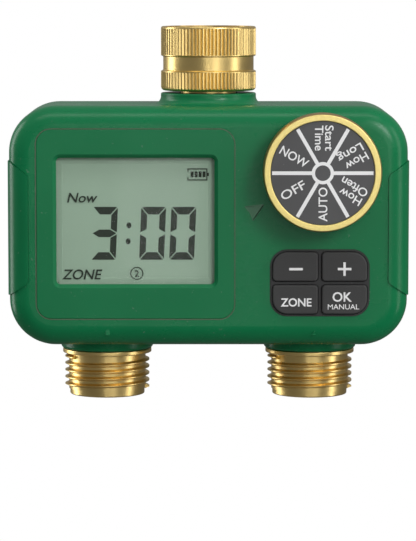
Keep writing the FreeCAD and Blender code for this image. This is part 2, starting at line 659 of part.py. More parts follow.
# seal between the halves, broken where the inlet and the outlets pass
seal = new_body("housing_seal_ring")
sketch = front_view(seal)
for inset in (S.gasket_inset + S.thin_gap, S.gasket_inset + S.gasket_width - S.thin_gap):
    rectangle(sketch, 0, MIDDLE, S.case_width - 2 * inset, S.case_height - 2 * inset,
              S.case_corner - inset)
extrude(seal, sketch, S.gasket_depth - SLIVER, "front")
reach = S.neck_hole + RUN_IN
gaps = [block("inlet_gap", (-reach, -S.seal_break, TOP - S.seal_break),
              (reach, S.seal_break, TOP + RUN_IN))]
for x in (-OUTLET_X, OUTLET_X):
    reach = S.outlet_neck + RUN_IN
    gaps.append(block("outlet_gap", (x - reach, -S.seal_break, BOTTOM - RUN_IN),
                      (x + reach, S.seal_break, BOTTOM + S.seal_break)))
keep(cut("housing_gasket", seal, join("seal_gaps", gaps)), "housing_gasket")


def screw(name, x, z, head_y, length, radius, head_radius, head_height):
    """Pan-head screw along Y whose head faces the rear, with a cross recess."""
    shank = cylinder(name + "_shank", radius, length, x, head_y - length, z, lying=True)
    head = cylinder(name + "_head", head_radius, head_height, x, head_y, z, lying=True)
    half = head_radius * 0.6
    top = head_y + head_height
    slots = [block(name + "_slot", (x - across, top - head_height / 2, z - up),
                   (x + across, top + RUN_IN, z + up))
             for across, up in ((half, S.slot_half), (S.slot_half, half))]
    return cut(name, join(name + "_form", [shank, head]), join(name + "_cross", slots))


group("housing_screws", [screw("case_screw", x, z, S.screw_seat, S.screw_length, S.screw_radius,
                               S.screw_head, S.screw_head_height) for x, z in POSTS])

# ---------------------------------------------------------------- inlet
collar = turned_part("inlet_collar", [
    (S.inlet_bore, 0), (S.collar_radius, 0, S.collar_edge), (S.collar_radius, -S.groove_top),
    (S.groove_radius, -S.groove_top - S.groove_slant),
    (S.groove_radius, -S.groove_bottom + S.groove_slant),
    (S.collar_radius, -S.groove_bottom), (S.collar_radius, -S.collar_height, S.collar_foot),
    (S.collar_hole, -S.collar_height), (S.collar_hole, -S.collar_seat),
    (S.tail_flange + S.hinge_gap, -S.collar_seat), (S.tail_flange + S.hinge_gap, -S.inlet_depth),
    (S.inlet_bore, -S.inlet_depth)])
for top, bottom in ((-S.knurl_end, -S.groove_top + S.knurl_land),
                    (-S.groove_bottom - S.knurl_land, -S.collar_height + S.knurl_end)):
    sketch = plan_view(collar, top)
    depth = S.collar_radius - S.knurl_depth
    outline(sketch, [(depth, 0), (S.collar_radius + S.knurl_run_out, -S.knurl_width),
                     (S.collar_radius + S.knurl_run_out, S.knurl_width)])
    notch = extrude(collar, sketch, as_value(top) - bottom, "down", cut=True)
    ring = collar.newObject("PartDesign::PolarPattern", "knurl")
    ring.Originals = [notch]
    axis = next(item for item in collar.Origin.OriginFeatures if item.Role == "Z_Axis")
    ring.Axis = (axis, [""])
    ring.Angle = 360
    bind(ring, "Occurrences", S.knurl_count)
    collar.Tip = ring
    doc.recompute()
keep(collar, "inlet_collar")

FLANGE_TOP = -S.collar_seat + S.tail_flange_height
FLANGE_FOOT = -S.collar_seat + S.thin_gap
GROOVE_FOOT = -S.tail_bottom + S.tail_land
keep(turned_part("inlet_tailpiece", [
    (S.tail_bore, FLANGE_TOP), (S.tail_flange, FLANGE_TOP), (S.tail_flange, FLANGE_FOOT),
    (S.tail_radius, FLANGE_FOOT), (S.tail_radius, GROOVE_FOOT + S.ring_groove_width),
    (S.tail_radius - S.ring_groove_depth, GROOVE_FOOT + S.ring_groove_width),
    (S.tail_radius - S.ring_groove_depth, GROOVE_FOOT), (S.tail_radius, GROOVE_FOOT),
    (S.tail_radius, -S.tail_bottom, S.tail_edge), (S.tail_bore, -S.tail_bottom)]),
    "inlet_tailpiece")


def o_ring(label, radius, wire, x=0, z=0, keep_it=True):
    thing = doc.addObject("Part::Torus", label)
    bind(thing, "Radius1", radius)
    bind(thing, "Radius2", wire)
    place(thing, x, 0, z)
    return keep(thing, label) if keep_it else thing


o_ring("tailpiece_o_ring", S.tail_radius - S.ring_seat, S.ring_wire,
       z=GROOVE_FOOT + S.ring_groove_width / 2)
keep(turned_part("hose_washer", [
    (S.washer_hole, FLANGE_TOP), (S.tail_flange - S.fit_gap, FLANGE_TOP),
    (S.tail_flange - S.fit_gap, FLANGE_TOP + S.washer_height, S.tail_edge),
    (S.washer_hole, FLANGE_TOP + S.washer_height)]), "hose_washer")
# the strainer hangs from its rim in the washer down into the tailpiece
SCREEN_TOP = FLANGE_TOP + S.washer_height - S.screen_rim_drop
SCREEN_FOOT = SCREEN_TOP - S.screen_drop
SCREEN_RIM = S.washer_hole - S.fit_gap
SCREEN_MOUTH = S.tail_bore - S.screen_gap
SCREEN_END = S.tail_bore - S.screen_taper
keep(turned_part("filter_screen", [
    (SCREEN_RIM, SCREEN_TOP), (SCREEN_RIM, SCREEN_TOP - S.screen_wall),
    (SCREEN_MOUTH, SCREEN_TOP - S.screen_wall), (SCREEN_END, SCREEN_FOOT, S.screen_round),
    (0, SCREEN_FOOT), (0, SCREEN_FOOT + S.screen_wall),
    (SCREEN_END - S.screen_wall, SCREEN_FOOT + S.screen_wall, S.screen_round - S.screen_wall),
    (SCREEN_MOUTH - S.screen_wall, SCREEN_TOP)]), "filter_screen")

# ---------------------------------------------------------------- outlets
FLANGE_LEVEL = SKIRT_BOTTOM - S.outlet_gap
THREAD_TOP = FLANGE_LEVEL - S.flange_height
THREAD_BOTTOM = THREAD_TOP - S.thread_length
LOCK_BOTTOM = BOTTOM + S.side_wall + S.fit_gap
LOCK_TOP = LOCK_BOTTOM + S.lock_height
SPIGOT_TOP = LOCK_TOP + S.spigot_length
SPIGOT_GROOVE = LOCK_TOP + S.spigot_land


def outlet(label, x):
    body = turned_part(label, [
        (S.outlet_bore, THREAD_BOTTOM - S.pilot_length, S.outlet_edge),
        (S.pilot_radius, THREAD_BOTTOM - S.pilot_length, S.pilot_edge),
        (S.pilot_radius, THREAD_BOTTOM), (S.thread_root, THREAD_BOTTOM),
        (S.thread_root, THREAD_TOP), (S.flange_radius, THREAD_TOP, S.outlet_edge),
        (S.flange_radius, FLANGE_LEVEL, S.outlet_edge),
        (S.outlet_neck, FLANGE_LEVEL), (S.outlet_neck, LOCK_BOTTOM),
        (S.lock_flange, LOCK_BOTTOM), (S.lock_flange, LOCK_TOP),
        (S.spigot_radius, LOCK_TOP), (S.spigot_radius, SPIGOT_GROOVE),
        (S.spigot_radius - S.ring_groove_depth, SPIGOT_GROOVE),
        (S.spigot_radius - S.ring_groove_depth, SPIGOT_GROOVE + S.ring_groove_width),
        (S.spigot_radius, SPIGOT_GROOVE + S.ring_groove_width),
        (S.spigot_radius, SPIGOT_TOP, S.outlet_edge), (S.water_bore, SPIGOT_TOP),
        (S.water_bore, BOTTOM - S.bore_step_top), (S.outlet_bore, BOTTOM - S.bore_step_foot)],
        x=x)
    sketch = front_view(body)
    foot = THREAD_BOTTOM + S.thread_start
    inside = S.thread_root - S.thread_bite
    outline(sketch, [(inside, foot - S.thread_foot), (S.thread_radius, foot - S.thread_crest),
                     (S.thread_radius, foot + S.thread_crest), (inside, foot + S.thread_foot)])
    helix = body.newObject("PartDesign::AdditiveHelix", "thread")
    helix.Profile = sketch
    helix.ReferenceAxis = (sketch, ["V_Axis"])
    helix.Mode = 0
    bind(helix, "Pitch", S.thread_pitch)
    bind(helix, "Height", S.thread_pitch * S.thread_turns)
    doc.recompute()
    return keep(body, label)


outlet("left_outlet", -OUTLET_X)
outlet("right_outlet", OUTLET_X)
group("outlet_o_rings", [o_ring("outlet_ring", S.spigot_radius - S.ring_seat, S.ring_wire, x=x,
                                z=SPIGOT_GROOVE + S.ring_groove_width / 2, keep_it=False)
                         for x in (-OUTLET_X, OUTLET_X)])

# ---------------------------------------------------------------- manifold and valves
BOSS_BOTTOM = LOCK_TOP + S.socket_gap
SOCKET_TOP = SPIGOT_TOP + S.socket_gap
CHAMBER_FLOOR = SOCKET_TOP + S.chamber_floor
CHAMBER_TOP = CHAMBER_FLOOR + S.chamber_height
PIPE_Z = CHAMBER_FLOOR + S.pipe_radius + S.pipe_lift
TAIL_END = -S.tail_bottom - S.socket_gap
SOCKET_MOUTH = TOP - S.side_wall - S.socket_drop

outer = []
inner = []
for x in (-OUTLET_X, OUTLET_X):
    outer.append(cylinder("boss", S.boss_radius, SOCKET_TOP - BOSS_BOTTOM + RUN_IN, x, 0,
                          BOSS_BOTTOM))
    outer.append(cylinder("chamber", S.chamber_radius, CHAMBER_TOP - SOCKET_TOP, x, 0, SOCKET_TOP))
    inner.append(cut("chamber_room",
                     cylinder("room", S.chamber_bore, S.chamber_height + RUN_IN, x, 0,
                              CHAMBER_FLOOR),
                     cylinder("seat", S.seat_radius, S.chamber_height - S.seat_drop, x, 0,
                              CHAMBER_FLOOR)))
    inner.append(cylinder("water_way", S.water_bore,
                          CHAMBER_TOP - SOCKET_TOP + 2 * RUN_IN, x, 0, SOCKET_TOP - RUN_IN))
    inner.append(cylinder("socket", S.spigot_radius + S.slide_gap,
                          SOCKET_TOP - BOSS_BOTTOM + RUN_IN, x, 0, BOSS_BOTTOM - RUN_IN))
down_pipe = cylinder("down_pipe", S.pipe_radius, SOCKET_MOUTH - PIPE_Z, 0, 0, PIPE_Z)
tail_socket = cylinder("tail_socket", S.socket_radius, SOCKET_MOUTH - TAIL_END + S.socket_root,
                       0, 0, TAIL_END - S.socket_root)
cross_pipe = doc.addObject("Part::Cylinder", "cross_pipe")
bind(cross_pipe, "Radius", S.pipe_radius)
bind(cross_pipe, "Height", S.outlet_spacing - 2 * (S.chamber_bore + RUN_IN))
cross_pipe.Placement.Rotation = FreeCAD.Rotation(FreeCAD.Vector(0, 1, 0), 90)
place(cross_pipe, S.chamber_bore + RUN_IN - OUTLET_X, 0, PIPE_Z)
cross_bore = doc.addObject("Part::Cylinder", "cross_bore")
bind(cross_bore, "Radius", S.water_bore)
bind(cross_bore, "Height", S.outlet_spacing - 2 * (S.chamber_bore - RUN_IN))
cross_bore.Placement.Rotation = FreeCAD.Rotation(FreeCAD.Vector(0, 1, 0), 90)
place(cross_bore, S.chamber_bore - RUN_IN - OUTLET_X, 0, PIPE_Z)
outer += [down_pipe, tail_socket, cross_pipe]
inner += [cross_bore,
          cylinder("down_bore", S.water_bore, SOCKET_MOUTH - PIPE_Z + RUN_IN, 0, 0, PIPE_Z),
          cylinder("tail_bore", S.tail_radius + S.slide_gap, SOCKET_MOUTH - TAIL_END + RUN_IN,
                   0, 0, TAIL_END)]


def square_flange(name, x, low, height):
    """Flat square flange with rounded corners, such as a valve's."""
    body = new_body(name, x=x, z=low)
    sketch = plan_view(body)
    rectangle(sketch, 0, 0, S.valve_flange, S.valve_flange, S.flange_corner)
    extrude(body, sketch, height, "up")
    return body


CORNERS = [(sx * S.screw_offset, sy * S.screw_offset) for sx in (-1, 1) for sy in (-1, 1)]


def corner_holes(name, x, low, height, radius):
    return [cylinder(name, radius, height, x + dx, dy, low) for dx, dy in CORNERS]


for x in (-OUTLET_X, OUTLET_X):
    outer.append(square_flange("chamber_flange", x, CHAMBER_TOP - S.valve_flange_height,
                               S.valve_flange_height))
    inner += corner_holes("flange_hole", x, CHAMBER_TOP - S.valve_flange_height - RUN_IN,
                          S.valve_flange_height + 2 * RUN_IN, S.small_screw + S.screw_bite)
keep(cut("manifold", join("manifold_form", outer), join("manifold_rooms", inner)), "manifold")

BONNET_TOP = CHAMBER_TOP + S.bonnet_height
DOME_TOP = CHAMBER_TOP + S.dome_height
TUBE_FOOT = DOME_TOP - S.tube_flange_height
TUBE_TOP = TUBE_FOOT + S.tube_height
PLUNGER_FOOT = CHAMBER_TOP + S.diaphragm_height + S.plunger_gap
COIL_FOOT = BONNET_TOP + S.fit_gap
WINDING_RADIUS = S.coil_radius - S.winding_sink
DIAPHRAGM_FOOT = CHAMBER_TOP - S.seat_drop + SLIVER
DIAPHRAGM_RIM = S.chamber_bore + S.diaphragm_step
bonnet_screws = []
for side, x in (("left", -OUTLET_X), ("right", OUTLET_X)):
    keep(turned_part(side + "_diaphragm", [
        (0, DIAPHRAGM_FOOT), (S.seat_radius + S.diaphragm_lap, DIAPHRAGM_FOOT),
        (S.seat_radius + S.diaphragm_lap, CHAMBER_TOP + S.diaphragm_height / 2),
        (DIAPHRAGM_RIM, CHAMBER_TOP + S.diaphragm_height / 2),
        (DIAPHRAGM_RIM, CHAMBER_TOP + SLIVER), (S.diaphragm_radius, CHAMBER_TOP + SLIVER),
        (S.diaphragm_radius, CHAMBER_TOP + S.diaphragm_height - SLIVER),
        (0, CHAMBER_TOP + S.diaphragm_height - SLIVER)], x=x), side + "_diaphragm")
    rooms = [cylinder("rim_room", S.diaphragm_radius + S.fit_gap, S.diaphragm_height + RUN_IN,
                      x, 0, CHAMBER_TOP - RUN_IN),
             cylinder("dome_room", S.dome_radius, S.dome_height + RUN_IN, x, 0,
                      CHAMBER_TOP - RUN_IN),
             cylinder("tube_hole", S.tube_radius + S.slide_gap, S.bonnet_height + RUN_IN, x, 0,
                      CHAMBER_TOP)]
    rooms += corner_holes("bonnet_hole", x, CHAMBER_TOP - RUN_IN, S.bonnet_height + 2 * RUN_IN,
                          S.small_screw + S.bonnet_hole_gap)
    keep(cut(side + "_bonnet", square_flange(side + "_bonnet_form", x, CHAMBER_TOP,
                                             S.bonnet_height),
             join(side + "_bonnet_rooms", rooms)), side + "_bonnet")
    inside = S.tube_radius - S.tube_wall
    keep(turned_part(side + "_core_tube", [
        (inside, TUBE_FOOT), (S.tube_flange, TUBE_FOOT), (S.tube_flange, DOME_TOP - SLIVER),
        (S.tube_radius, DOME_TOP - SLIVER), (S.tube_radius, TUBE_TOP, S.tube_round),
        (0, TUBE_TOP), (0, TUBE_TOP - S.tube_plug), (inside, TUBE_TOP - S.tube_plug)], x=x),
        side + "_core_tube")
    keep(turned_part(side + "_plunger", [
        (0, 0), (S.plunger_tip, 0), (S.plunger_radius, S.plunger_taper),
        (S.plunger_radius, S.plunger_length), (S.spring_seat, S.plunger_length),
        (S.spring_seat, S.plunger_length - S.spring_seat_depth),
        (0, S.plunger_length - S.spring_seat_depth)], x=x, z=PLUNGER_FOOT), side + "_plunger")
    coil = turned_part(side + "_coil", [
        (S.tube_radius + S.coil_gap, COIL_FOOT), (S.coil_radius, COIL_FOOT),
        (S.coil_radius, COIL_FOOT + S.spool_wall), (WINDING_RADIUS, COIL_FOOT + S.spool_wall),
        (WINDING_RADIUS, COIL_FOOT + S.coil_height - S.spool_wall),
        (S.coil_radius, COIL_FOOT + S.coil_height - S.spool_wall),
        (S.coil_radius, COIL_FOOT + S.coil_height),
        (S.tube_radius + S.coil_gap, COIL_FOOT + S.coil_height)], x=x)
    keep(coil, side + "_coil")
    for dx, dy in CORNERS:
        shank = cylinder("bonnet_shank", S.small_screw, S.bonnet_height + S.bonnet_screw_bite,
                         x + dx, dy, CHAMBER_TOP - S.bonnet_screw_bite)
        head = cylinder("bonnet_head", S.small_head, S.small_head_height, x + dx, dy, BONNET_TOP)
        bonnet_screws.append(join("bonnet_screw", [shank, head]))
group("bonnet_screws", bonnet_screws)


def spring(label, x, foot, top, radius, wire, turns):
    """Round-wire compression spring between two levels."""
    pitch = (top - foot - 2 * wire) / turns
    helix = Part.makeHelix(pitch, pitch * turns, radius)
    section = Part.Wire([Part.makeCircle(wire, FreeCAD.Vector(radius, 0, 0),
                                         FreeCAD.Vector(0, 1, 0))])
    thing = doc.addObject("Part::Feature", label)
    thing.Shape = Part.Wire(helix.Edges).makePipeShell([section], True, True)
    thing.Placement.Base = FreeCAD.Vector(x, 0, foot + wire)
    return keep(thing, label)


for side, x in (("left", -OUTLET_X), ("right", OUTLET_X)):
    spring(side + "_spring", x.number, (PLUNGER_FOOT + S.plunger_length + SLIVER).number,
           (TUBE_TOP - S.tube_plug - SLIVER).number, (S.plunger_radius - S.spring_inset).number,
           S.spring_wire.number, S.spring_turns.number)

# ---------------------------------------------------------------- display
surround = new_body("display_surround")
PANEL_FRONT = -S.front_depth + SLIVER
sketch = front_view(surround, PANEL_FRONT)
rectangle(sketch, PANEL_X, PANEL_Z, S.panel_width - 2 * S.panel_gap,
          S.panel_height - 2 * S.panel_gap, S.panel_corner - S.panel_gap)
extrude(surround, sketch, S.panel_sink - SLIVER - S.thin_gap, "rear")
dress(surround, "Fillet", S.panel_edge, "y", PANEL_FRONT)
sketch = front_view(surround, -S.front_depth)
rectangle(sketch, PANEL_X, WINDOW_Z, S.window_width, S.window_height, S.window_corner)
extrude(surround, sketch, S.panel_sink + PAST, "rear", cut=True)
dress(surround, "Chamfer", S.window_bevel, "y", PANEL_FRONT,
      lambda edge: edge.BoundBox.XMin > (PANEL_X - S.window_width / 2 - SLIVER).number
      and edge.BoundBox.XMax < (PANEL_X + S.window_width / 2 + SLIVER).number
      and edge.BoundBox.ZMin > (WINDOW_Z - S.window_height / 2 - SLIVER).number
      and edge.BoundBox.ZMax < (WINDOW_Z + S.window_height / 2 + SLIVER).number)
keep(surround, "display_surround")

LENS_FRONT = S.front_depth - S.panel_sink - S.fit_gap
lens = new_body("display_window")
sketch = front_view(lens, -LENS_FRONT)
rectangle(sketch, PANEL_X, WINDOW_Z, S.window_width + 2 * S.lens_lap,
          S.window_height + 2 * S.lens_lap, S.window_corner + S.lens_lap)
extrude(lens, sketch, S.lens_height, "rear")
keep(lens, "display_window")

lcd = new_body("lcd_module")
LCD_FRONT = INNER_FRONT - S.thin_gap
sketch = front_view(lcd, -LCD_FRONT)
rectangle(sketch, PANEL_X, WINDOW_Z, S.window_width + 2 * S.lcd_lap,
          S.window_height + 2 * S.lcd_lap, S.lcd_corner)
extrude(lcd, sketch, S.lcd_height, "rear")
keep(lcd, "lcd_module")
zebra = [block("strip", (PANEL_X - S.window_width / 2, -LCD_FRONT + S.lcd_height + SLIVER,
                         WINDOW_Z + side * (S.window_height / 2) - S.strip_half),
               (PANEL_X + S.window_width / 2, -BOARD_FRONT - SLIVER,
                WINDOW_Z + side * (S.window_height / 2) + S.strip_half)) for side in (-1, 1)]
group("lcd_connectors", zebra)

# ---------------------------------------------------------------- circuit board
board = new_body("circuit_board")
sketch = front_view(board, -BOARD_FRONT)
left = S.board_side - HALF_WIDTH
right = HALF_WIDTH - S.board_side
top = TOP - S.board_top
bottom = BOTTOM + S.board_bottom
shoulder = TOP - S.board_shoulder
notch_out = S.top_post_x + S.board_notch_half
notch_in = S.top_post_x - S.board_notch_half
outline(sketch, [(left, bottom, S.board_corner), (right, bottom, S.board_corner),
                 (right, TOP - S.board_notch, S.board_corner),
                 (notch_out, TOP - S.board_notch), (notch_out, shoulder),
                 (notch_in, shoulder), (notch_in, top, S.board_corner),
                 (-notch_in, top, S.board_corner), (-notch_in, shoulder),
                 (left, shoulder, S.board_corner)])
extrude(board, sketch, S.board_height, "rear")
sketch = front_view(board, -BOARD_FRONT)
for x, z in BOARD_POSTS:
    circle(sketch, x, z, S.small_screw + S.board_hole_gap)
extrude(board, sketch, S.board_height, "rear", cut=True)
keep(board, "circuit_board")
group("board_screws", [screw("board_screw", x, z, -BOARD_BACK + SLIVER / 2, S.board_screw_length,
                             S.small_screw, S.small_head, S.small_head_height / 2)
                       for x, z in BOARD_POSTS])

# ---------------------------------------------------------------- dial
DIAL_BACK = S.front_depth + S.dial_lift
DIAL_FRONT = DIAL_BACK + S.dial_height


def along_y(label, corners, y):
    """A round part on the dial's axis: corners (radius, distance towards the front)."""
    body = new_body(label, x=DIAL_X, y=y, z=DIAL_Z)
    body.Placement.Rotation = FreeCAD.Rotation(FreeCAD.Vector(1, 0, 0), 90)
    sketch = front_view(body)
    outline(sketch, corners)
    turn(body, sketch)
    return body


RING_SEAT = S.dial_height - S.dial_ring_drop
RING_FACE = S.dial_height + S.dial_ring_rise
FACE_RADIUS = S.dial_ring_hole - S.thin_gap
FACE_INSIDE = S.dial_height - S.dial_face_wall
HUB_TOP = S.dial_height - S.hub_seat
hub_radius = S.shaft_radius + S.hub_wall
hub_bore = S.shaft_radius + S.shaft_grip
keep(along_y("dial_knob", [
    (0, HUB_TOP), (0, S.dial_height), (FACE_RADIUS, S.dial_height), (FACE_RADIUS, RING_SEAT),
    (S.dial_radius, RING_SEAT - S.dial_step), (S.dial_radius, 0, S.dial_edge),
    (S.dial_radius - S.dial_wall, 0), (S.dial_radius - S.dial_wall, S.dial_skirt),
    (S.dial_ring_hole - S.dial_wall, S.dial_shoulder),
    (S.dial_ring_hole - S.dial_wall, FACE_INSIDE), (hub_radius, FACE_INSIDE),
    (hub_radius, S.dial_face_wall), (hub_bore, S.dial_face_wall), (hub_bore, HUB_TOP)],
    -DIAL_BACK), "dial_knob")
keep(along_y("dial_ring", [
    (S.dial_ring_hole, RING_SEAT + S.fit_gap),
    (S.dial_ring_radius - S.dial_edge, RING_SEAT - S.dial_step / 2),
    (S.dial_ring_radius, RING_SEAT + S.dial_step),
    (S.dial_ring_radius, S.dial_height - S.dial_step, S.dial_edge),
    (S.dial_ring_radius - S.ring_bevel, RING_FACE, S.ring_edge),
    (S.dial_ring_hole, RING_FACE, S.ring_edge)], -DIAL_BACK), "dial_ring")
keep(along_y("dial_label", [
    (0, SLIVER), (S.label_radius, SLIVER), (S.label_radius, S.label_height, S.label_edge),
    (0, S.label_height)], -DIAL_FRONT), "dial_label")
SHAFT_FOOT = BOARD_FRONT + S.shaft_lift
shaft_length = DIAL_FRONT - SHAFT_FOOT - S.hub_seat - S.shaft_end
keep(along_y("dial_shaft", [
    (0, 0), (S.shaft_radius, 0, S.shaft_lift), (S.shaft_radius, shaft_length),
    (0, shaft_length)], -SHAFT_FOOT), "dial_shaft")
seal_ring = doc.addObject("Part::Torus", "dial_seal")
bind(seal_ring, "Radius1", S.shaft_radius + S.ring_radius)
bind(seal_ring, "Radius2", S.ring_radius - 1.5 * SLIVER)
seal_ring.Placement.Rotation = FreeCAD.Rotation(FreeCAD.Vector(1, 0, 0), 90)
place(seal_ring, DIAL_X, -S.front_depth + S.ring_radius, DIAL_Z)
keep(seal_ring, "dial_seal")

rotary = new_body("rotary_switch")
switch_height = S.board_gap - S.fit_gap - SLIVER
sketch = front_view(rotary, -INNER_FRONT + S.fit_gap)
rectangle(sketch, DIAL_X, DIAL_Z, S.switch_size, S.switch_size, S.switch_corner)
extrude(rotary, sketch, switch_height, "rear")
sketch = front_view(rotary, -INNER_FRONT + S.fit_gap)
circle(sketch, DIAL_X, DIAL_Z, S.shaft_radius + S.shaft_gap)
extrude(rotary, sketch, switch_height, "rear", cut=True)
keep(rotary, "rotary_switch")

# ---------------------------------------------------------------- keys
CELL_WIDTH = (S.keypad_width - 2 * S.keypad_rim - S.keypad_web) / 2
CELL_HEIGHT = (S.keypad_height - 2 * S.keypad_rim - S.keypad_web) / 2
STEP_X = (CELL_WIDTH + S.keypad_web) / 2
STEP_Z = (CELL_HEIGHT + S.keypad_web) / 2
KEYS = {"key_minus": (-1, 1), "key_plus": (1, 1), "key_zone": (-1, -1), "key_ok": (1, -1)}


def cell_radii(column, row, outer, inner):
    """Corner radii of one key cell; only the corner at the keypad's own corner is large."""
    order = [(-1, -1), (1, -1), (1, 1), (-1, 1)]
    return [outer if corner == (column, row) else inner for corner in order]


frame = new_body("keypad_frame")
FRAME_FRONT = -S.front_depth - S.keypad_proud
LIP_FRONT = -INNER_FRONT + S.fit_gap
sketch = front_view(frame, FRAME_FRONT)
rectangle(sketch, KEYPAD_X, KEYPAD_Z, S.keypad_width, S.keypad_height, S.keypad_corner)
extrude(frame, sketch, LIP_FRONT - FRAME_FRONT, "rear")
sketch = front_view(frame, LIP_FRONT)
rectangle(sketch, KEYPAD_X, KEYPAD_Z, S.keypad_width + 2 * S.keypad_ledge,
          S.keypad_height + 2 * S.keypad_ledge, S.keypad_corner + S.keypad_ledge)
extrude(frame, sketch, S.keypad_lip, "rear")
for column, row in KEYS.values():
    sketch = front_view(frame, FRAME_FRONT)
    rectangle(sketch, KEYPAD_X + column * STEP_X, KEYPAD_Z + row * STEP_Z, CELL_WIDTH,
              CELL_HEIGHT, radii=cell_radii(column, row, S.keypad_corner - S.keypad_rim,
                                            S.key_corner + S.key_gap))
    extrude(frame, sketch, LIP_FRONT - FRAME_FRONT + S.keypad_lip + PAST, "rear", cut=True)
keep(frame, "keypad_frame")

KEY_FRONT = S.front_depth + S.key_proud
TACT_TOP = BOARD_FRONT + S.tact_height
for label, (column, row) in KEYS.items():
    key = new_body(label, x=KEYPAD_X + column * STEP_X, y=-KEY_FRONT,
                   z=KEYPAD_Z + row * STEP_Z)
    sketch = front_view(key)
    rectangle(sketch, 0, 0, CELL_WIDTH - 2 * S.key_gap, CELL_HEIGHT - 2 * S.key_gap,
              radii=cell_radii(column, row, S.keypad_corner - S.keypad_rim - S.key_gap,
                               S.key_corner))
    extrude(key, sketch, S.key_height, "rear")
    dress(key, "Fillet", S.key_edge, "y", 0)
    sketch = front_view(key, S.key_height)
    circle(sketch, 0, 0, S.stem_radius)
    extrude(key, sketch, KEY_FRONT - TACT_TOP - S.key_travel - S.fit_gap - S.key_height, "rear")
    keep(key, label)

mat = new_body("keypad_mat")
MAT_FRONT = INNER_FRONT - S.keypad_lip - S.mat_gap
sketch = front_view(mat, -MAT_FRONT)
rectangle(sketch, KEYPAD_X, KEYPAD_Z, S.keypad_width + 2 * S.mat_ledge,
          S.keypad_height + 2 * S.mat_ledge, S.keypad_corner + S.mat_ledge)
extrude(mat, sketch, S.mat_height, "rear")
sketch = front_view(mat, -MAT_FRONT)
for column, row in KEYS.values():
    circle(sketch, KEYPAD_X + column * STEP_X, KEYPAD_Z + row * STEP_Z, S.stem_radius + S.stem_gap)
extrude(mat, sketch, S.mat_height, "rear", cut=True)
keep(mat, "keypad_mat")
group("tact_switches", [cylinder("tact", S.tact_radius, S.tact_height - SLIVER,
                                 KEYPAD_X + column * STEP_X, -TACT_TOP,
                                 KEYPAD_Z + row * STEP_Z, lying=True)
                        for column, row in KEYS.values()])

# ---------------------------------------------------------------- batteries
BATTERY_X = S.battery_radius + S.battery_gap
BATTERY_Y = S.bay_front + S.battery_radius + S.battery_gap
BAY_LOW = BAY_Z - S.bay_height / 2
BAY_HIGH = BAY_Z + S.bay_height / 2
BATTERY_LOW = BAY_LOW + S.contact_height + S.battery_lift
for label, side in (("battery_left", -1), ("battery_right", 1)):
    radius = S.battery_radius
    long = S.battery_length
    corners = [(0, 0), (radius - S.cell_foot, 0), (radius, S.cell_edge, S.cell_edge),
               (radius, long - S.cell_foot, S.cell_edge),
               (S.terminal_radius, long - S.terminal_sink),
               (S.terminal_radius, long + S.terminal_height, S.outlet_edge),
               (0, long + S.terminal_height)]
    cell = turned_part(label, corners, z=BATTERY_LOW)
    place(cell, side * BATTERY_X, BATTERY_Y, BATTERY_LOW)
    if side > 0:
        cell.Placement.Rotation = FreeCAD.Rotation(FreeCAD.Vector(1, 0, 0), 180)
        place(cell, side * BATTERY_X, BATTERY_Y, BATTERY_LOW + long + S.terminal_height)
    keep(cell, label)
plates = []
for level in (BAY_LOW + SLIVER, BAY_HIGH - S.contact_height - SLIVER):
    for side in (-1, 1):
        x = side * BATTERY_X
        plates.append(block("contact", (x - S.contact_half, BATTERY_Y - S.contact_depth, level),
                            (x + S.contact_half, BATTERY_Y + S.contact_depth,
                             level + S.contact_height)))
group("battery_contacts", plates)

# ---------------------------------------------------------------- battery door
DOOR_TOP = HINGE_Z - S.hinge_radius - S.hinge_gap
DOOR_Z = DOOR_TOP - S.door_tall / 2
door = new_body("battery_door")
DOOR_INNER = S.bulge_depth + S.door_gap
DOOR_OUTER = DOOR_INNER + S.door_height
sketch = front_view(door, DOOR_INNER)
rectangle(sketch, 0, DOOR_Z, S.door_width, S.door_tall, S.door_corner)
extrude(door, sketch, S.door_height, "rear")
dress(door, "Fillet", S.door_round, "y", DOOR_OUTER)
clear = S.hinge_gap
DOOR_SPANS = [(clear - HINGE_HALF, -0.5 * S.knuckle_length - clear),
              (0.5 * S.knuckle_length + clear, HINGE_HALF - clear)]
knuckles(door, DOOR_SPANS)
for low, high in DOOR_SPANS:
    sketch = new_sketch(door, "YZ_Plane", low)
    near = DOOR_INNER + S.arm_gap
    far = DOOR_OUTER - S.arm_sink
    outline(sketch, [(near, DOOR_TOP - S.arm_drop), (far, DOOR_TOP - S.arm_drop),
                     (far, HINGE_Z), (near, HINGE_Z)])
    feature = door.newObject("PartDesign::Pad", "arm")
    feature.Profile = sketch
    bind(feature, "Length", high - low)
doc.recompute()
drill_hinge(door, S.pin_radius + S.pin_gap)
sketch = front_view(door, DOOR_INNER)
circle(sketch, 0, DOOR_SCREW_Z, S.lock_screw_radius + S.fit_gap)
extrude(door, sketch, S.door_height + RUN_IN, "rear", cut=True)
sketch = front_view(door, DOOR_OUTER)
circle(sketch, 0, DOOR_SCREW_Z, S.lock_head_radius + S.lock_head_gap)
extrude(door, sketch, S.lock_head_height, "front", cut=True)
keep(door, "battery_door")

gasket = new_body("door_gasket")
sketch = front_view(gasket, DOOR_INNER - SLIVER)
rectangle(sketch, 0, BAY_Z, S.bay_width + 2 * S.door_seal_side,
          S.bay_height + 2 * S.door_seal_end, S.bay_corner)
rectangle(sketch, 0, BAY_Z, S.bay_width + 2 * S.door_seal_inside,
          S.bay_height + 2 * S.door_seal_inside, S.door_seal_corner)
extrude(gasket, sketch, S.door_gap - SLIVER - S.door_seal_gap, "front")
keep(gasket, "door_gasket")

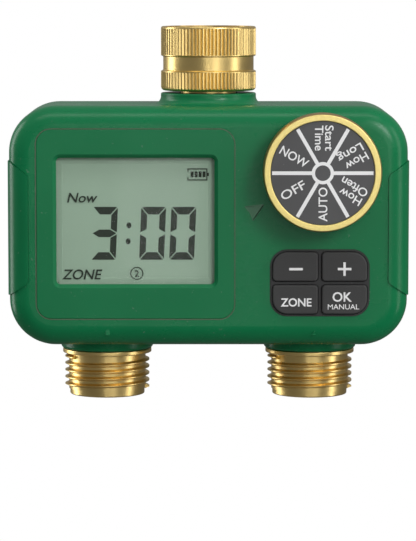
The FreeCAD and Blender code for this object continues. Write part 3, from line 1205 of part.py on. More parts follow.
pin = doc.addObject("Part::Cylinder", "hinge_pin")
bind(pin, "Radius", S.pin_radius)
pin_half = HINGE_HALF + S.lug_length - S.pin_short
bind(pin, "Height", 2 * pin_half)
pin.Placement.Rotation = FreeCAD.Rotation(FreeCAD.Vector(0, 1, 0), 90)
place(pin, -pin_half, HINGE_Y, HINGE_Z)
keep(pin, "hinge_pin")

head_foot = DOOR_OUTER - S.lock_head_height + S.thin_gap
door_screw_head = cylinder("door_screw_head", S.lock_head_radius, S.lock_head_height, 0,
                           head_foot, DOOR_SCREW_Z, lying=True)
door_screw_shank = cylinder("door_screw_shank", S.lock_screw_radius, S.lock_screw_length, 0,
                            head_foot - S.lock_screw_length, DOOR_SCREW_Z, lying=True)
coin_slot = block("coin_slot", (-S.coin_slot_half, DOOR_OUTER - S.coin_slot_depth,
                                DOOR_SCREW_Z - S.coin_slot_width / 2),
                  (S.coin_slot_half, DOOR_OUTER + RUN_IN, DOOR_SCREW_Z + S.coin_slot_width / 2))
keep(cut("door_screw", join("door_screw_form", [door_screw_head, door_screw_shank]), coin_slot),
     "door_screw")


# ---------------------------------------------------------------- solenoid leads
# how much of its shorter run a bend takes, and how far a wire's volume may be from length x section
REACH_SHARE = 0.45
VOLUME_SHARE = 0.02


def lead(label, points, radius):
    """Insulated wire: straight runs joined by tangent arcs."""
    points = [FreeCAD.Vector(*point) for point in points]
    edges = []
    start = points[0]
    for before, corner, after in zip(points, points[1:], points[2:]):
        to_before = (before - corner).normalize()
        to_after = (after - corner).normalize()
        half = to_before.getAngle(to_after) / 2
        run = min((corner - before).Length, (after - corner).Length)
        reach = REACH_SHARE * run
        bend = reach * math.tan(half)
        entry = corner + to_before * reach
        leave = corner + to_after * reach
        centre = corner + (to_before + to_after).normalize() * (reach / math.cos(half))
        middle = centre + (corner - centre).normalize() * bend
        edges.append(Part.LineSegment(start, entry).toShape())
        edges.append(Part.Arc(entry, middle, leave).toShape())
        start = leave
    edges.append(Part.LineSegment(start, points[-1]).toShape())
    path = Part.Wire(edges)
    along = (points[1] - points[0]).normalize()
    section = Part.Wire([Part.makeCircle(radius, points[0], along)])
    tube = path.makePipeShell([section], True, True)
    wanted = math.pi * radius ** 2 * path.Length
    if abs(tube.Volume - wanted) > VOLUME_SHARE * wanted:
        raise RuntimeError(f"{label} is not its section times its length")
    return tube


coil_level = (COIL_FOOT + S.coil_height / 2).number
coil_front = -WINDING_RADIUS.number
board_rear = -BOARD_BACK.number
run_out = S.lead_run.number
drop = S.lead_drop.number
for side, x in (("left", -OUTLET_X.number), ("right", OUTLET_X.number)):
    wires = []
    for offset in (-S.lead_pitch.number / 2, S.lead_pitch.number / 2):
        points = [(x + offset, coil_front - SLIVER, coil_level),
                  (x + offset, coil_front - run_out, coil_level),
                  (x + offset, board_rear + run_out, coil_level - drop),
                  (x + offset, board_rear + SLIVER, coil_level - drop)]
        wires.append(lead(f"{side} lead", points, S.lead_radius.number))
    thing = doc.addObject("Part::Feature", side + "_leads")
    thing.Shape = Part.makeCompound(wires)
    keep(thing, side + "_leads")

# ---------------------------------------------------------------- check and write
doc.recompute()
for item in doc.Objects:
    if "Invalid" in item.State or "Error" in item.State:
        raise RuntimeError(f"{item.Label} failed: {item.State}")
for node in nodes:
    if node.Shape.isNull() or not node.Shape.isValid() or not node.Shape.Solids:
        raise RuntimeError(f"{node.Label} has no valid shape")
os.makedirs("parts", exist_ok=True)
for node in nodes:
    node.Shape.exportStep(f"parts/{node.Label}.step")
print(len(nodes), "sub-parts written")
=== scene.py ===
import math

import bmesh
import bpy
from bpy.props import FloatProperty, FloatVectorProperty, IntProperty, PointerProperty
from mathutils import Matrix, Vector


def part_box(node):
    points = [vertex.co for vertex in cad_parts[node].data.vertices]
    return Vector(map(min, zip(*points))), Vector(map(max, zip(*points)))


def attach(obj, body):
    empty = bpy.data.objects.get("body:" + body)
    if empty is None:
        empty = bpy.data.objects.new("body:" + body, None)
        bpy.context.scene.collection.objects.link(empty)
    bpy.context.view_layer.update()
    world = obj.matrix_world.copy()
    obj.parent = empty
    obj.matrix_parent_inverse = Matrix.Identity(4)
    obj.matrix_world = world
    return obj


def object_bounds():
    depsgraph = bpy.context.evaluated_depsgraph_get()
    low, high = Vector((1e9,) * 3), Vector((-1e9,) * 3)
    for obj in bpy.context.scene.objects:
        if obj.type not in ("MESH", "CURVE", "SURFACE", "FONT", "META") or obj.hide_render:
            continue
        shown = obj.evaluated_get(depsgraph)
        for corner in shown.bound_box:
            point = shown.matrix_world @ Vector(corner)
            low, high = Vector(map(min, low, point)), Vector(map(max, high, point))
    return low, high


bl_info = {
    "name": "Hose Timer Dressing",
    "version": (1, 0, 0),
    "blender": (4, 5, 0),
    "location": "3D View > Sidebar > Timer",
    "description": "Finishes, printing, fine detail, studio and camera for a two-outlet hose timer",
    "category": "Object",
}

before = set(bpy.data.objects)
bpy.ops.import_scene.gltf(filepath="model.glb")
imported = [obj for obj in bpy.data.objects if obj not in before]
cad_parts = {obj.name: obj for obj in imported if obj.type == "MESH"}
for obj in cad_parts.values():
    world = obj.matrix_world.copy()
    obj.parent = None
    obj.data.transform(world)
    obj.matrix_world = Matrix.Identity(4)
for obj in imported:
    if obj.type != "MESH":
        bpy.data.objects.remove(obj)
CAD_LOW, CAD_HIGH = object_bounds()

MM = 0.001
UPRIGHT = math.radians(90)
CAP_SHARE = 0.729  # capital height of the built-in font at size 1
SPLINE_STEPS = 4


# ------------------------------------------------------------------ places on the timer
def lowest(node):
    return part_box(node)[0]


def highest(node):
    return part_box(node)[1]


def centre(node):
    low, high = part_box(node)
    return (low + high) / 2


def mm(*numbers):
    """Millimetres as a point in metres."""
    return Vector([number * MM for number in numbers])


# ------------------------------------------------------------------ modelling helpers
def deselect():
    if bpy.context.object and bpy.context.object.mode != "OBJECT":
        bpy.ops.object.mode_set(mode="OBJECT")
    bpy.ops.object.select_all(action="DESELECT")


def only(*pieces):
    """Select just these pieces; the first is the active one."""
    deselect()
    for piece in pieces:
        piece.select_set(True)
    bpy.context.view_layer.objects.active = pieces[0]
    return pieces[0]


def settle(piece):
    """Put a piece's turn, size and place into its mesh."""
    only(piece)
    bpy.ops.object.transform_apply(location=True, rotation=True, scale=True)
    return piece


def pick(piece, kind, test):
    """In edit mode, select only what passes a test of its place and direction."""
    if piece.mode != "EDIT":
        only(piece)
        bpy.ops.object.mode_set(mode="EDIT")
    bpy.ops.mesh.select_mode(type=kind)
    bpy.ops.mesh.select_all(action="DESELECT")
    shape = bmesh.from_edit_mesh(piece.data)
    if kind == "VERT":
        chosen = [v for v in shape.verts if test(v.co, v.normal)]
    elif kind == "EDGE":
        chosen = [
            e for e in shape.edges
            if test((e.verts[0].co + e.verts[1].co) / 2, e.verts[1].co - e.verts[0].co)
        ]
    else:
        chosen = [f for f in shape.faces if test(f.calc_center_median(), f.normal)]
    if not chosen:
        raise RuntimeError(f"{piece.name}: nothing is there to select")
    for part in chosen:
        part.select_set(True)
    bmesh.update_edit_mesh(piece.data)


def everything(piece):
    if piece.mode != "EDIT":
        only(piece)
        bpy.ops.object.mode_set(mode="EDIT")
    bpy.ops.mesh.select_all(action="SELECT")


def leave(piece):
    if piece.mode == "EDIT":
        bpy.ops.object.mode_set(mode="OBJECT")
    return piece


def plate(x, front, z, width, height):
    """A flat rectangle that faces -Y."""
    deselect()
    bpy.ops.mesh.primitive_plane_add(size=1, location=(x, front, z), rotation=(UPRIGHT, 0, 0))
    piece = bpy.context.object
    piece.scale = (width, height, 1)
    return settle(piece)


def disc(x, front, z, radius, corners=48):
    """A flat disc that faces -Y."""
    deselect()
    bpy.ops.mesh.primitive_circle_add(vertices=corners, radius=radius, fill_type="NGON",
                                      location=(x, front, z), rotation=(UPRIGHT, 0, 0))
    return settle(bpy.context.object)


def ring_out(piece, thickness):
    """Turn a flat face into a rim of a given thickness."""
    everything(piece)
    bpy.ops.mesh.inset(thickness=thickness, use_even_offset=True)
    bpy.ops.mesh.delete(type="FACE")
    return leave(piece)


def round_corners(piece, radius, segments=4):
    everything(piece)
    bpy.ops.mesh.select_mode(type="VERT")
    bpy.ops.mesh.bevel(offset=radius, segments=segments, affect="VERTICES")
    return leave(piece)


def modifier(piece, kind, **values):
    """Add a modifier with these values and apply it."""
    only(leave(piece))
    made = piece.modifiers.new(kind.lower(), kind)
    for name, value in values.items():
        setattr(made, name, value)
    bpy.ops.object.modifier_apply(modifier=made.name)
    return piece


def thicken(piece, depth):
    """Give a flat piece its thickness, away from its face."""
    return modifier(piece, "SOLIDIFY", thickness=depth, offset=-1.0, use_rim=True)


def soften(piece, width, segments=2):
    return modifier(piece, "BEVEL", width=width, segments=segments, limit_method="ANGLE",
                    angle_limit=math.radians(40))


def face_out(piece):
    """Merge doubled points and point every face outwards."""
    everything(piece)
    bpy.ops.mesh.remove_doubles(threshold=1e-7)
    bpy.ops.mesh.normals_make_consistent(inside=False)
    return leave(piece)


def copy_of(piece):
    """A copy with its own mesh."""
    only(leave(piece))
    bpy.ops.object.duplicate(linked=False)
    return bpy.context.object


def shift(piece, dx=0.0, dy=0.0, dz=0.0):
    piece.location = (dx, dy, dz)
    return settle(piece)


def join(pieces):
    only(*[leave(piece) for piece in pieces])
    if len(pieces) > 1:
        bpy.ops.object.join()
    return bpy.context.object


def lettering(words, x, front, z, cap, length, turn=0.0, slant=0.0, weight=0.0, depth=0.05 * MM):
    """Raised words that face -Y: x and z are the middle of the line they stand on."""
    deselect()
    bpy.ops.object.text_add()
    line = bpy.context.object
    line.data.body = words
    line.data.align_x = "CENTER"
    line.data.resolution_u = SPLINE_STEPS
    line.data.offset = weight
    line.data.shear = slant
    line.data.extrude = 1.0
    bpy.ops.object.convert(target="MESH")
    line = bpy.context.object
    sides = [vertex.co.x for vertex in line.data.vertices]
    middle = (min(sides) + max(sides)) / 2
    spread = max(sides) - min(sides)
    shift(line, dx=-middle)
    line.scale = (length / spread, cap / CAP_SHARE, depth / 2)
    settle(line)
    line.rotation_euler = (UPRIGHT, -turn, 0)
    line.location = (x, front + depth / 2, z)
    settle(line)
    everything(line)
    bpy.ops.mesh.remove_doubles(threshold=1e-8)
    bpy.ops.mesh.dissolve_limited(angle_limit=math.radians(1))
    return leave(line)


def hand_over(piece, name, body, finish, smooth=30):
    """Name a finished piece, give it its finish and let it ride on its body."""
    settle(leave(piece))
    only(piece)
    bpy.ops.object.shade_smooth_by_angle(angle=math.radians(smooth))
    piece.name = name
    piece.data.name = name
    if finish:
        piece.data.materials.clear()
        piece.data.materials.append(bpy.data.materials[finish])
    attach(piece, body)
    return piece


# ------------------------------------------------------------------ shared finish groups
def new_group(name, inputs, outputs):
    """A shader node group with named inputs and outputs."""
    group = bpy.data.node_groups.new(name, "ShaderNodeTree")
    for label, kind, default in inputs:
        socket = group.interface.new_socket(name=label, in_out="INPUT", socket_type=kind)
        if default is not None:
            socket.default_value = default
    for label, kind in outputs:
        group.interface.new_socket(name=label, in_out="OUTPUT", socket_type=kind)
    entry = group.nodes.new("NodeGroupInput")
    leaving = group.nodes.new("NodeGroupOutput")
    return group, entry, leaving


def math_node(tree, operation, first, second, third=None):
    """A Math node whose operands are sockets or numbers."""
    node = tree.nodes.new("ShaderNodeMath")
    node.operation = operation
    for index, value in enumerate((first, second, third)):
        if value is None:
            continue
        if isinstance(value, (int, float)):
            node.inputs[index].default_value = value
        else:
            tree.links.new(value, node.inputs[index])
    return node.outputs[0]


def noise_node(tree, place, scale, detail=2.0, roughness=0.5):
    node = tree.nodes.new("ShaderNodeTexNoise")
    tree.links.new(place, node.inputs["Vector"])
    if isinstance(scale, (int, float)):
        node.inputs["Scale"].default_value = scale
    else:
        tree.links.new(scale, node.inputs["Scale"])
    node.inputs["Detail"].default_value = detail
    node.inputs["Roughness"].default_value = roughness
    return node.outputs["Fac"]


def stretch_node(tree, place, scale):
    node = tree.nodes.new("ShaderNodeMapping")
    node.inputs["Scale"].default_value = scale
    tree.links.new(place, node.inputs["Vector"])
    return node.outputs["Vector"]


def contrast(tree, value, low, high):
    """Spread the part of a value between low and high over 0 to 1."""
    node = tree.nodes.new("ShaderNodeMapRange")
    node.inputs["From Min"].default_value = low
    node.inputs["From Max"].default_value = high
    tree.links.new(value, node.inputs["Value"])
    return node.outputs["Result"]


def moulded_grain_group():
    """Fine spark-eroded grain, with slow patches where the mould is worn smoother."""
    group, entry, leaving = new_group(
        "moulded_grain",
        [("Place", "NodeSocketVector", None), ("Grain Scale", "NodeSocketFloat", 2600.0),
         ("Patch Scale", "NodeSocketFloat", 45.0)],
        [("Grain", "NodeSocketFloat"), ("Patch", "NodeSocketFloat")])
    fine = noise_node(group, entry.outputs["Place"], entry.outputs["Grain Scale"], 3.0, 0.6)
    slow = noise_node(group, entry.outputs["Place"], entry.outputs["Patch Scale"], 3.0, 0.55)
    group.links.new(fine, leaving.inputs["Grain"])
    group.links.new(contrast(group, slow, 0.35, 0.65), leaving.inputs["Patch"])
    return group


def handling_group():
    """Faint smudges and specks of dust from handling."""
    group, entry, leaving = new_group(
        "handling",
        [("Place", "NodeSocketVector", None)],
        [("Smudge", "NodeSocketFloat"), ("Dust", "NodeSocketFloat")])
    smear = noise_node(group, stretch_node(group, entry.outputs["Place"], (1.0, 1.0, 1.7)),
                       90.0, 5.0, 0.65)
    specks = noise_node(group, entry.outputs["Place"], 900.0, 1.0)
    group.links.new(contrast(group, smear, 0.42, 0.72), leaving.inputs["Smudge"])
    group.links.new(contrast(group, specks, 0.74, 0.82), leaving.inputs["Dust"])
    return group


def turned_lines_group():
    """Fine rings left by a lathe round the Z axis, with a little tarnish between them."""
    group, entry, leaving = new_group(
        "turned_lines",
        [("Place", "NodeSocketVector", None), ("Line Scale", "NodeSocketFloat", 5200.0)],
        [("Lines", "NodeSocketFloat"), ("Tarnish", "NodeSocketFloat")])
    rings = stretch_node(group, entry.outputs["Place"], (0.03, 0.03, 1.0))
    lines = noise_node(group, rings, entry.outputs["Line Scale"], 2.0, 0.7)
    cloud = noise_node(group, entry.outputs["Place"], 160.0, 4.0, 0.6)
    group.links.new(lines, leaving.inputs["Lines"])
    group.links.new(contrast(group, cloud, 0.4, 0.75), leaving.inputs["Tarnish"])
    return group


def use_group(tree, name, place, **values):
    node = tree.nodes.new("ShaderNodeGroup")
    node.node_tree = bpy.data.node_groups[name]
    tree.links.new(place, node.inputs["Place"])
    for label, value in values.items():
        node.inputs[label.replace("_", " ")].default_value = value
    return node


def start_finish(name):
    """A new material: its tree, its shader and its object coordinates."""
    made = bpy.data.materials.new(name)
    made.use_nodes = True
    tree = made.node_tree
    place = tree.nodes.new("ShaderNodeTexCoord").outputs["Object"]
    return made, tree, tree.nodes["Principled BSDF"], place


def blend_colours(tree, share, first, second):
    """A colour between two, by a value from 0 to 1. Either may be a socket."""
    node = tree.nodes.new("ShaderNodeMix")
    node.data_type = "RGBA"
    tree.links.new(share, node.inputs["Factor"])
    for label, colour in (("A", first), ("B", second)):
        socket = next(s for s in node.inputs if s.name == label and s.type == "RGBA")
        if isinstance(colour, bpy.types.NodeSocket):
            tree.links.new(colour, socket)
        else:
            socket.default_value = (*colour[:3], 1.0)
    return next(s for s in node.outputs if s.type == "RGBA")


def bump(tree, shader, height, strength, distance):
    node = tree.nodes.new("ShaderNodeBump")
    node.inputs["Strength"].default_value = strength
    node.inputs["Distance"].default_value = distance
    tree.links.new(height, node.inputs["Height"])
    tree.links.new(node.outputs["Normal"], shader.inputs["Normal"])


def shaded(colour, share):
    return [channel * share for channel in colour[:3]]


def moulded(name, colour, rough, grain=2600.0, bump_strength=0.25, mottle=0.1, dust=0.25,
            specular=0.5):
    """A moulded plastic or rubber: grain, slow patches, smudges and a little dust."""
    made, tree, shader, place = start_finish(name)
    skin = use_group(tree, "moulded_grain", place, Grain_Scale=grain)
    hands = use_group(tree, "handling", place)
    tone = blend_colours(tree, skin.outputs["Patch"], shaded(colour, 1 - mottle),
                         shaded(colour, 1 + mottle))
    grey = [min(1.0, sum(colour[:3]) / 3 + 0.25)] * 3
    specks = math_node(tree, "MULTIPLY", hands.outputs["Dust"], dust)
    tree.links.new(blend_colours(tree, specks, tone, grey), shader.inputs["Base Color"])
    worn = math_node(tree, "MULTIPLY_ADD", skin.outputs["Patch"], -0.06, rough)
    rubbed = math_node(tree, "MULTIPLY_ADD", hands.outputs["Smudge"], 0.05, worn)
    tree.links.new(rubbed, shader.inputs["Roughness"])
    shader.inputs["Specular IOR Level"].default_value = specular
    bump(tree, shader, skin.outputs["Grain"], bump_strength, 0.03 * MM)
    return made


def metal(name, colour, dark, rough, lines=5200.0, bump_strength=0.2):
    """A turned or plated metal: lathe rings, clouds of tarnish and finger marks."""
    made, tree, shader, place = start_finish(name)
    turned = use_group(tree, "turned_lines", place, Line_Scale=lines)
    hands = use_group(tree, "handling", place)
    share = math_node(tree, "MULTIPLY", turned.outputs["Tarnish"], 0.6)
    tree.links.new(blend_colours(tree, share, colour, dark), shader.inputs["Base Color"])
    shader.inputs["Metallic"].default_value = 1.0
    base = math_node(tree, "MULTIPLY_ADD", turned.outputs["Lines"], 0.12, rough - 0.06)
    rubbed = math_node(tree, "MULTIPLY_ADD", hands.outputs["Smudge"], 0.06, base)
    tree.links.new(rubbed, shader.inputs["Roughness"])
    bump(tree, shader, turned.outputs["Lines"], bump_strength, 0.01 * MM)
    return made


RING_FACE_REACH = 17.85 * MM  # where the ring's flat face starts to fall away
RING_EDGE_REACH = 18.05 * MM


def ring_finish(name, face, rim, axis):
    """Satin plating, bright on the ring's flat face; where its outer edge falls away the colour
    turns browner, a painted shade on that edge.
    """
    made, tree, shader, place = start_finish(name)
    centred = tree.nodes.new("ShaderNodeMapping")
    centred.inputs["Location"].default_value = (-axis.x, -axis.y, -axis.z)
    tree.links.new(place, centred.inputs["Vector"])
    split = tree.nodes.new("ShaderNodeSeparateXYZ")
    tree.links.new(centred.outputs["Vector"], split.inputs["Vector"])
    across = math_node(tree, "MULTIPLY", split.outputs["X"], split.outputs["X"])
    both = math_node(tree, "MULTIPLY_ADD", split.outputs["Z"], split.outputs["Z"], across)
    reach = math_node(tree, "SQRT", both, None)
    outer = contrast(tree, reach, RING_FACE_REACH, RING_EDGE_REACH)
    streaks = noise_node(tree, stretch_node(tree, place, (1.0, 1.0, 0.55)), 1500.0, 2.0, 0.6)
    satin = blend_colours(tree, contrast(tree, streaks, 0.3, 0.7), shaded(face, 0.93), face)
    # Towards the outer edge the plating colour blends into the browner rim colour: painted shade on
    # the falling-away edge.
    tree.links.new(blend_colours(tree, outer, satin, rim), shader.inputs["Base Color"])
    shader.inputs["Metallic"].default_value = 0.75
    rough = math_node(tree, "MULTIPLY_ADD", outer, -0.12, 0.42)
    tree.links.new(rough, shader.inputs["Roughness"])
    bump(tree, shader, streaks, 0.15, 0.01 * MM)
    return made


def display_finish(name, colour):
    """The display's grey-green reflector, with its faint rows of cells."""
    made, tree, shader, place = start_finish(name)
    skin = use_group(tree, "moulded_grain", place, Grain_Scale=4200.0, Patch_Scale=25.0)
    rows = tree.nodes.new("ShaderNodeTexWave")
    rows.bands_direction = "Z"
    rows.inputs["Scale"].default_value = 420.0
    tree.links.new(place, rows.inputs["Vector"])
    tone = blend_colours(tree, skin.outputs["Patch"], shaded(colour, 0.985), shaded(colour, 1.015))
    lined = blend_colours(tree, math_node(tree, "MULTIPLY", rows.outputs["Fac"], 0.02), tone,
                          shaded(colour, 0.7))
    tree.links.new(lined, shader.inputs["Base Color"])
    shader.inputs["Roughness"].default_value = 0.55
    shader.inputs["Specular IOR Level"].default_value = 0.05
    bump(tree, shader, skin.outputs["Grain"], 0.05, 0.01 * MM)
    return made


def lens_finish(name):
    """The clear display lens: almost all light passes, and a little shines back."""
    made, tree, shader, place = start_finish(name)
    hands = use_group(tree, "handling", place)
    shader.inputs["Base Color"].default_value = (0.97, 0.99, 0.98, 1.0)
    shader.inputs["Transmission Weight"].default_value = 1.0
    haze = math_node(tree, "MULTIPLY_ADD", hands.outputs["Smudge"], 0.04, 0.03)
    tree.links.new(haze, shader.inputs["Roughness"])
    shader.inputs["IOR"].default_value = 1.49
    shader.inputs["Alpha"].default_value = 0.05
    made.surface_render_method = "BLENDED"
    return made


def wound_finish(name, colour, dark):
    """Turns of enamelled wire under clear tape, darker in the grooves between turns as painted
    shade.
    """
    made, tree, shader, place = start_finish(name)
    turns = tree.nodes.new("ShaderNodeTexWave")
    turns.bands_direction = "Z"
    turns.inputs["Scale"].default_value = 520.0
    turns.inputs["Distortion"].default_value = 0.6
    tree.links.new(place, turns.inputs["Vector"])
    # The darker colour follows the grooves between turns: painted shade.
    tree.links.new(blend_colours(tree, turns.outputs["Fac"], dark, colour),
                   shader.inputs["Base Color"])
    shader.inputs["Roughness"].default_value = 0.35
    shader.inputs["Coat Weight"].default_value = 0.4
    bump(tree, shader, turns.outputs["Fac"], 0.4, 0.1 * MM)
    return made


# ------------------------------------------------------------------ what a user may change
class TimerSizes(bpy.types.PropertyGroup):
    print_height: FloatProperty(
        name="Print height", description="How far printing stands off its surface",
        default=0.05 * MM, min=0.0, unit="LENGTH")
    digit_width: FloatProperty(
        name="Digit width", description="Width of one display digit",
        default=7.75 * MM, unit="LENGTH")
    digit_height: FloatProperty(
        name="Digit height", description="Height of one display digit",
        default=16.56 * MM, unit="LENGTH")
    digit_gap: FloatProperty(
        name="Digit gap", description="Gap between the bars of a digit",
        default=0.33 * MM, unit="LENGTH")
    divider_width: FloatProperty(
        name="Divider width", description="Width of the dial's white dividers",
        default=1.13 * MM, unit="LENGTH")
    divider_count: IntProperty(
        name="Dividers", description="Number of sectors on the dial", default=6, min=2)
    thread_pitch: FloatProperty(
        name="Thread pitch", description="Pitch of the inlet's inner thread",
        default=2.209 * MM, unit="LENGTH")
    light_power: FloatProperty(
        name="Light power", description="Power that each studio light takes its share of",
        default=2.6, unit="POWER")


class TimerColours(bpy.types.PropertyGroup):
    case: FloatVectorProperty(
        name="Case", description="Moulded case", subtype="COLOR", size=3,
        default=(0.003, 0.165, 0.056))
    display: FloatVectorProperty(
        name="Display", description="Display behind the lens", subtype="COLOR", size=3,
        default=(0.340, 0.468, 0.357))
    keys: FloatVectorProperty(
        name="Keys", description="Rubber keys", subtype="COLOR", size=3,
        default=(0.040, 0.040, 0.041))
    disc: FloatVectorProperty(
        name="Dial disc", description="Printed disc on the dial", subtype="COLOR", size=3,
        default=(0.088, 0.088, 0.090))
    brass: FloatVectorProperty(
        name="Brass", description="Turned fittings", subtype="COLOR", size=3,
        default=(0.800, 0.590, 0.230))
    ring: FloatVectorProperty(
        name="Ring", description="Plated ring round the dial", subtype="COLOR", size=3,
        default=(0.950, 0.780, 0.290))


def sizes():
    return bpy.context.scene.timer_sizes


def colours():
    return bpy.context.scene.timer_colours


# ------------------------------------------------------------------ finishes
FINISH_OF = {
    "case_green": ["front_shell", "rear_shell", "battery_door"],
    "grip_green": ["left_side_grip", "right_side_grip"],
    "panel_green": ["display_surround"],
    "clear_lens": ["display_window"],
    "display_face": ["lcd_module"],
    "dial_black": ["dial_knob"],
    "ring_gold_painted_edge_shade": ["dial_ring"],
    "disc_grey": ["dial_label"],
    "key_rubber": ["key_minus", "key_plus", "key_zone", "key_ok"],
    "web_rubber": ["keypad_frame"],
    "turned_brass": ["inlet_collar", "inlet_tailpiece", "left_outlet", "right_outlet"],
    "bright_steel": ["dial_shaft", "board_screws", "housing_screws", "filter_screen",
                     "bonnet_screws", "battery_contacts", "hinge_pin", "door_screw",
                     "left_core_tube", "right_core_tube", "left_plunger", "right_plunger",
                     "left_spring", "right_spring"],
    "seal_rubber": ["lcd_connectors", "dial_seal", "keypad_mat", "housing_gasket",
                    "tailpiece_o_ring", "hose_washer", "outlet_o_rings", "door_gasket",
                    "left_diaphragm", "right_diaphragm"],
    "black_moulding": ["rotary_switch", "tact_switches"],
    "solder_mask": ["circuit_board"],
    "pale_moulding": ["manifold", "left_bonnet", "right_bonnet"],
    "taped_winding": ["left_coil", "right_coil"],
    "lead_red": ["left_leads", "right_leads"],
    "cell_sleeve": ["battery_left", "battery_right"],
}


class TIMER_OT_finishes(bpy.types.Operator):
    """Make every finish and give each moulded, turned and pressed part its own"""
    bl_idname = "timer.finishes"
    bl_label = "Finishes"

    def execute(self, context):
        moulded_grain_group()
        handling_group()
        turned_lines_group()
        paint = colours()
        case = list(paint.case)
        moulded("case_green", case, 0.30, bump_strength=0.16, mottle=0.04, specular=0.25)
        moulded("grip_green", shaded(case, 0.93), 0.34, grain=2200.0, bump_strength=0.22,
                mottle=0.04, specular=0.25)
        moulded("panel_green", case, 0.36, grain=3000.0, bump_strength=0.16, mottle=0.03,
                specular=0.25)
        moulded("bead_olive", [0.095, 0.145, 0.085], 0.5, bump_strength=0.1, mottle=0.04)
        # Near black for the painted shadow in the gap round the keypad.
        moulded("painted_gap_shadow", [0.006, 0.008, 0.007], 0.5, bump_strength=0.1, mottle=0.04)
        moulded("pointer_green", [0.075, 0.205, 0.115], 0.5, bump_strength=0.2, mottle=0.05)
        # A lighter green for the pointer's outline: a painted highlight on the arrow's raised edge.
        moulded("pointer_edge_painted_highlight", [0.10, 0.235, 0.135], 0.5, bump_strength=0.2, mottle=0.05)
        moulded("dial_black", [0.016, 0.016, 0.017], 0.45, grain=2400.0, bump_strength=0.3)
        moulded("disc_grey", list(paint.disc), 0.55, grain=3600.0, bump_strength=0.35,
                mottle=0.07, dust=0.3, specular=0.3)
        for rubber, tone, rough in (("key_rubber", list(paint.keys), 0.62),
                                    ("web_rubber", shaded(paint.keys, 0.85), 0.66)):
            moulded(rubber, tone, rough, grain=2800.0, bump_strength=0.3, mottle=0.06,
                    dust=0.3, specular=0.35)
        moulded("white_ink", [0.86, 0.86, 0.86], 0.5, grain=5200.0, bump_strength=0.2,
                mottle=0.03, dust=0.0, specular=0.3)
        moulded("seal_rubber", [0.014, 0.014, 0.015], 0.6, bump_strength=0.3)
        moulded("black_moulding", [0.018, 0.018, 0.020], 0.42)
        moulded("solder_mask", [0.010, 0.085, 0.032], 0.30, grain=1800.0, bump_strength=0.15,
                mottle=0.15)
        moulded("pale_moulding", [0.68, 0.68, 0.63], 0.42, grain=2200.0, bump_strength=0.2,
                mottle=0.04)
        moulded("lead_red", [0.45, 0.03, 0.02], 0.38, grain=2200.0, bump_strength=0.1)
        moulded("cell_sleeve", [0.022, 0.024, 0.028], 0.28, grain=1500.0, bump_strength=0.08)
        moulded("display_ink", [0.040, 0.050, 0.040], 0.55, grain=5200.0, bump_strength=0.1,
                mottle=0.05, dust=0.0, specular=0.05)
        # The display's colour made darker for its border: painted shade along the lens's edge.
        moulded("display_edge_painted_shade", shaded(paint.display, 0.9), 0.5, grain=3600.0,
                bump_strength=0.1, mottle=0.03, dust=0.0, specular=0.05)
        metal("turned_brass", list(paint.brass), shaded(paint.brass, 0.82), 0.30,
              bump_strength=0.1)
        metal("bright_steel", [0.62, 0.62, 0.60], [0.42, 0.42, 0.41], 0.28)
        # The brown colour here is the painted shade on the ring's outer edge.
        ring_finish("ring_gold_painted_edge_shade", list(paint.ring), [0.42, 0.24, 0.07], centre("dial_ring"))
        display_finish("display_face", list(paint.display))
        lens_finish("clear_lens")
        wound_finish("taped_winding", [0.52, 0.20, 0.06], [0.16, 0.05, 0.015])
        for finish, nodes in FINISH_OF.items():
            for node in nodes:
                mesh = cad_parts[node].data
                mesh.materials.clear()
                mesh.materials.append(bpy.data.materials[finish])
        return {"FINISHED"}


# ------------------------------------------------------------------ display
SEGMENT_SLOPE = 0.044  # how far a digit leans for its height
BAR_WIDTH = 1.95 * MM
INSET_SQUASH = 0.85  # the outline is inset while this much shorter, which thins its level bars
DIGIT_HEIGHT_PLACE = -64.12
HOUR_PLACE = -32.45
MINUTE_PLACE = -17.41
MINUTE_STEP = 9.40 * MM
CORNER_REACH = 0.9 * MM
CORNER_CUT = 0.28 * MM
COLON_DOTS = ((-24.80, -61.61), (-25.03, -66.61))
COLON_RADIUS = 0.78 * MM
COLON_STRETCH = 1.22


def digit_outline(front):
    """All seven bars of a digit as flat faces about the origin, in one mesh."""
    width = sizes().digit_width + sizes().digit_gap
    height = (sizes().digit_height + sizes().digit_gap) * INSET_SQUASH
    bar = BAR_WIDTH + sizes().digit_gap
    piece = plate(0, front, 0, width, height)
    everything(piece)
    bpy.ops.mesh.bisect(plane_co=(0, front, 0), plane_no=(0, 0, 1))
    bpy.ops.mesh.select_all(action="SELECT")
    bpy.ops.mesh.select_mode(type="FACE")
    bpy.ops.mesh.select_all(action="SELECT")
    bpy.ops.mesh.inset(thickness=bar, use_individual=True, use_even_offset=True)
    bpy.ops.mesh.delete(type="FACE")
    for side in (-1, 1):
        pick(piece, "VERT", lambda co, n: abs(co.z - side * bar) < bar / 4
             and abs(co.x) < width / 2 - bar / 2)
        bpy.ops.transform.translate(value=(0, 0, -side * bar / 2))
    pick(piece, "EDGE", lambda co, run: abs(co.z) < bar / 10 and abs(co.x) < bar / 10
         and abs(run.z) < bar / 10)
    bpy.ops.mesh.dissolve_edges(use_verts=False)
    leave(piece)
    piece.scale = (1, 1, 1 / INSET_SQUASH)
    return settle(piece)


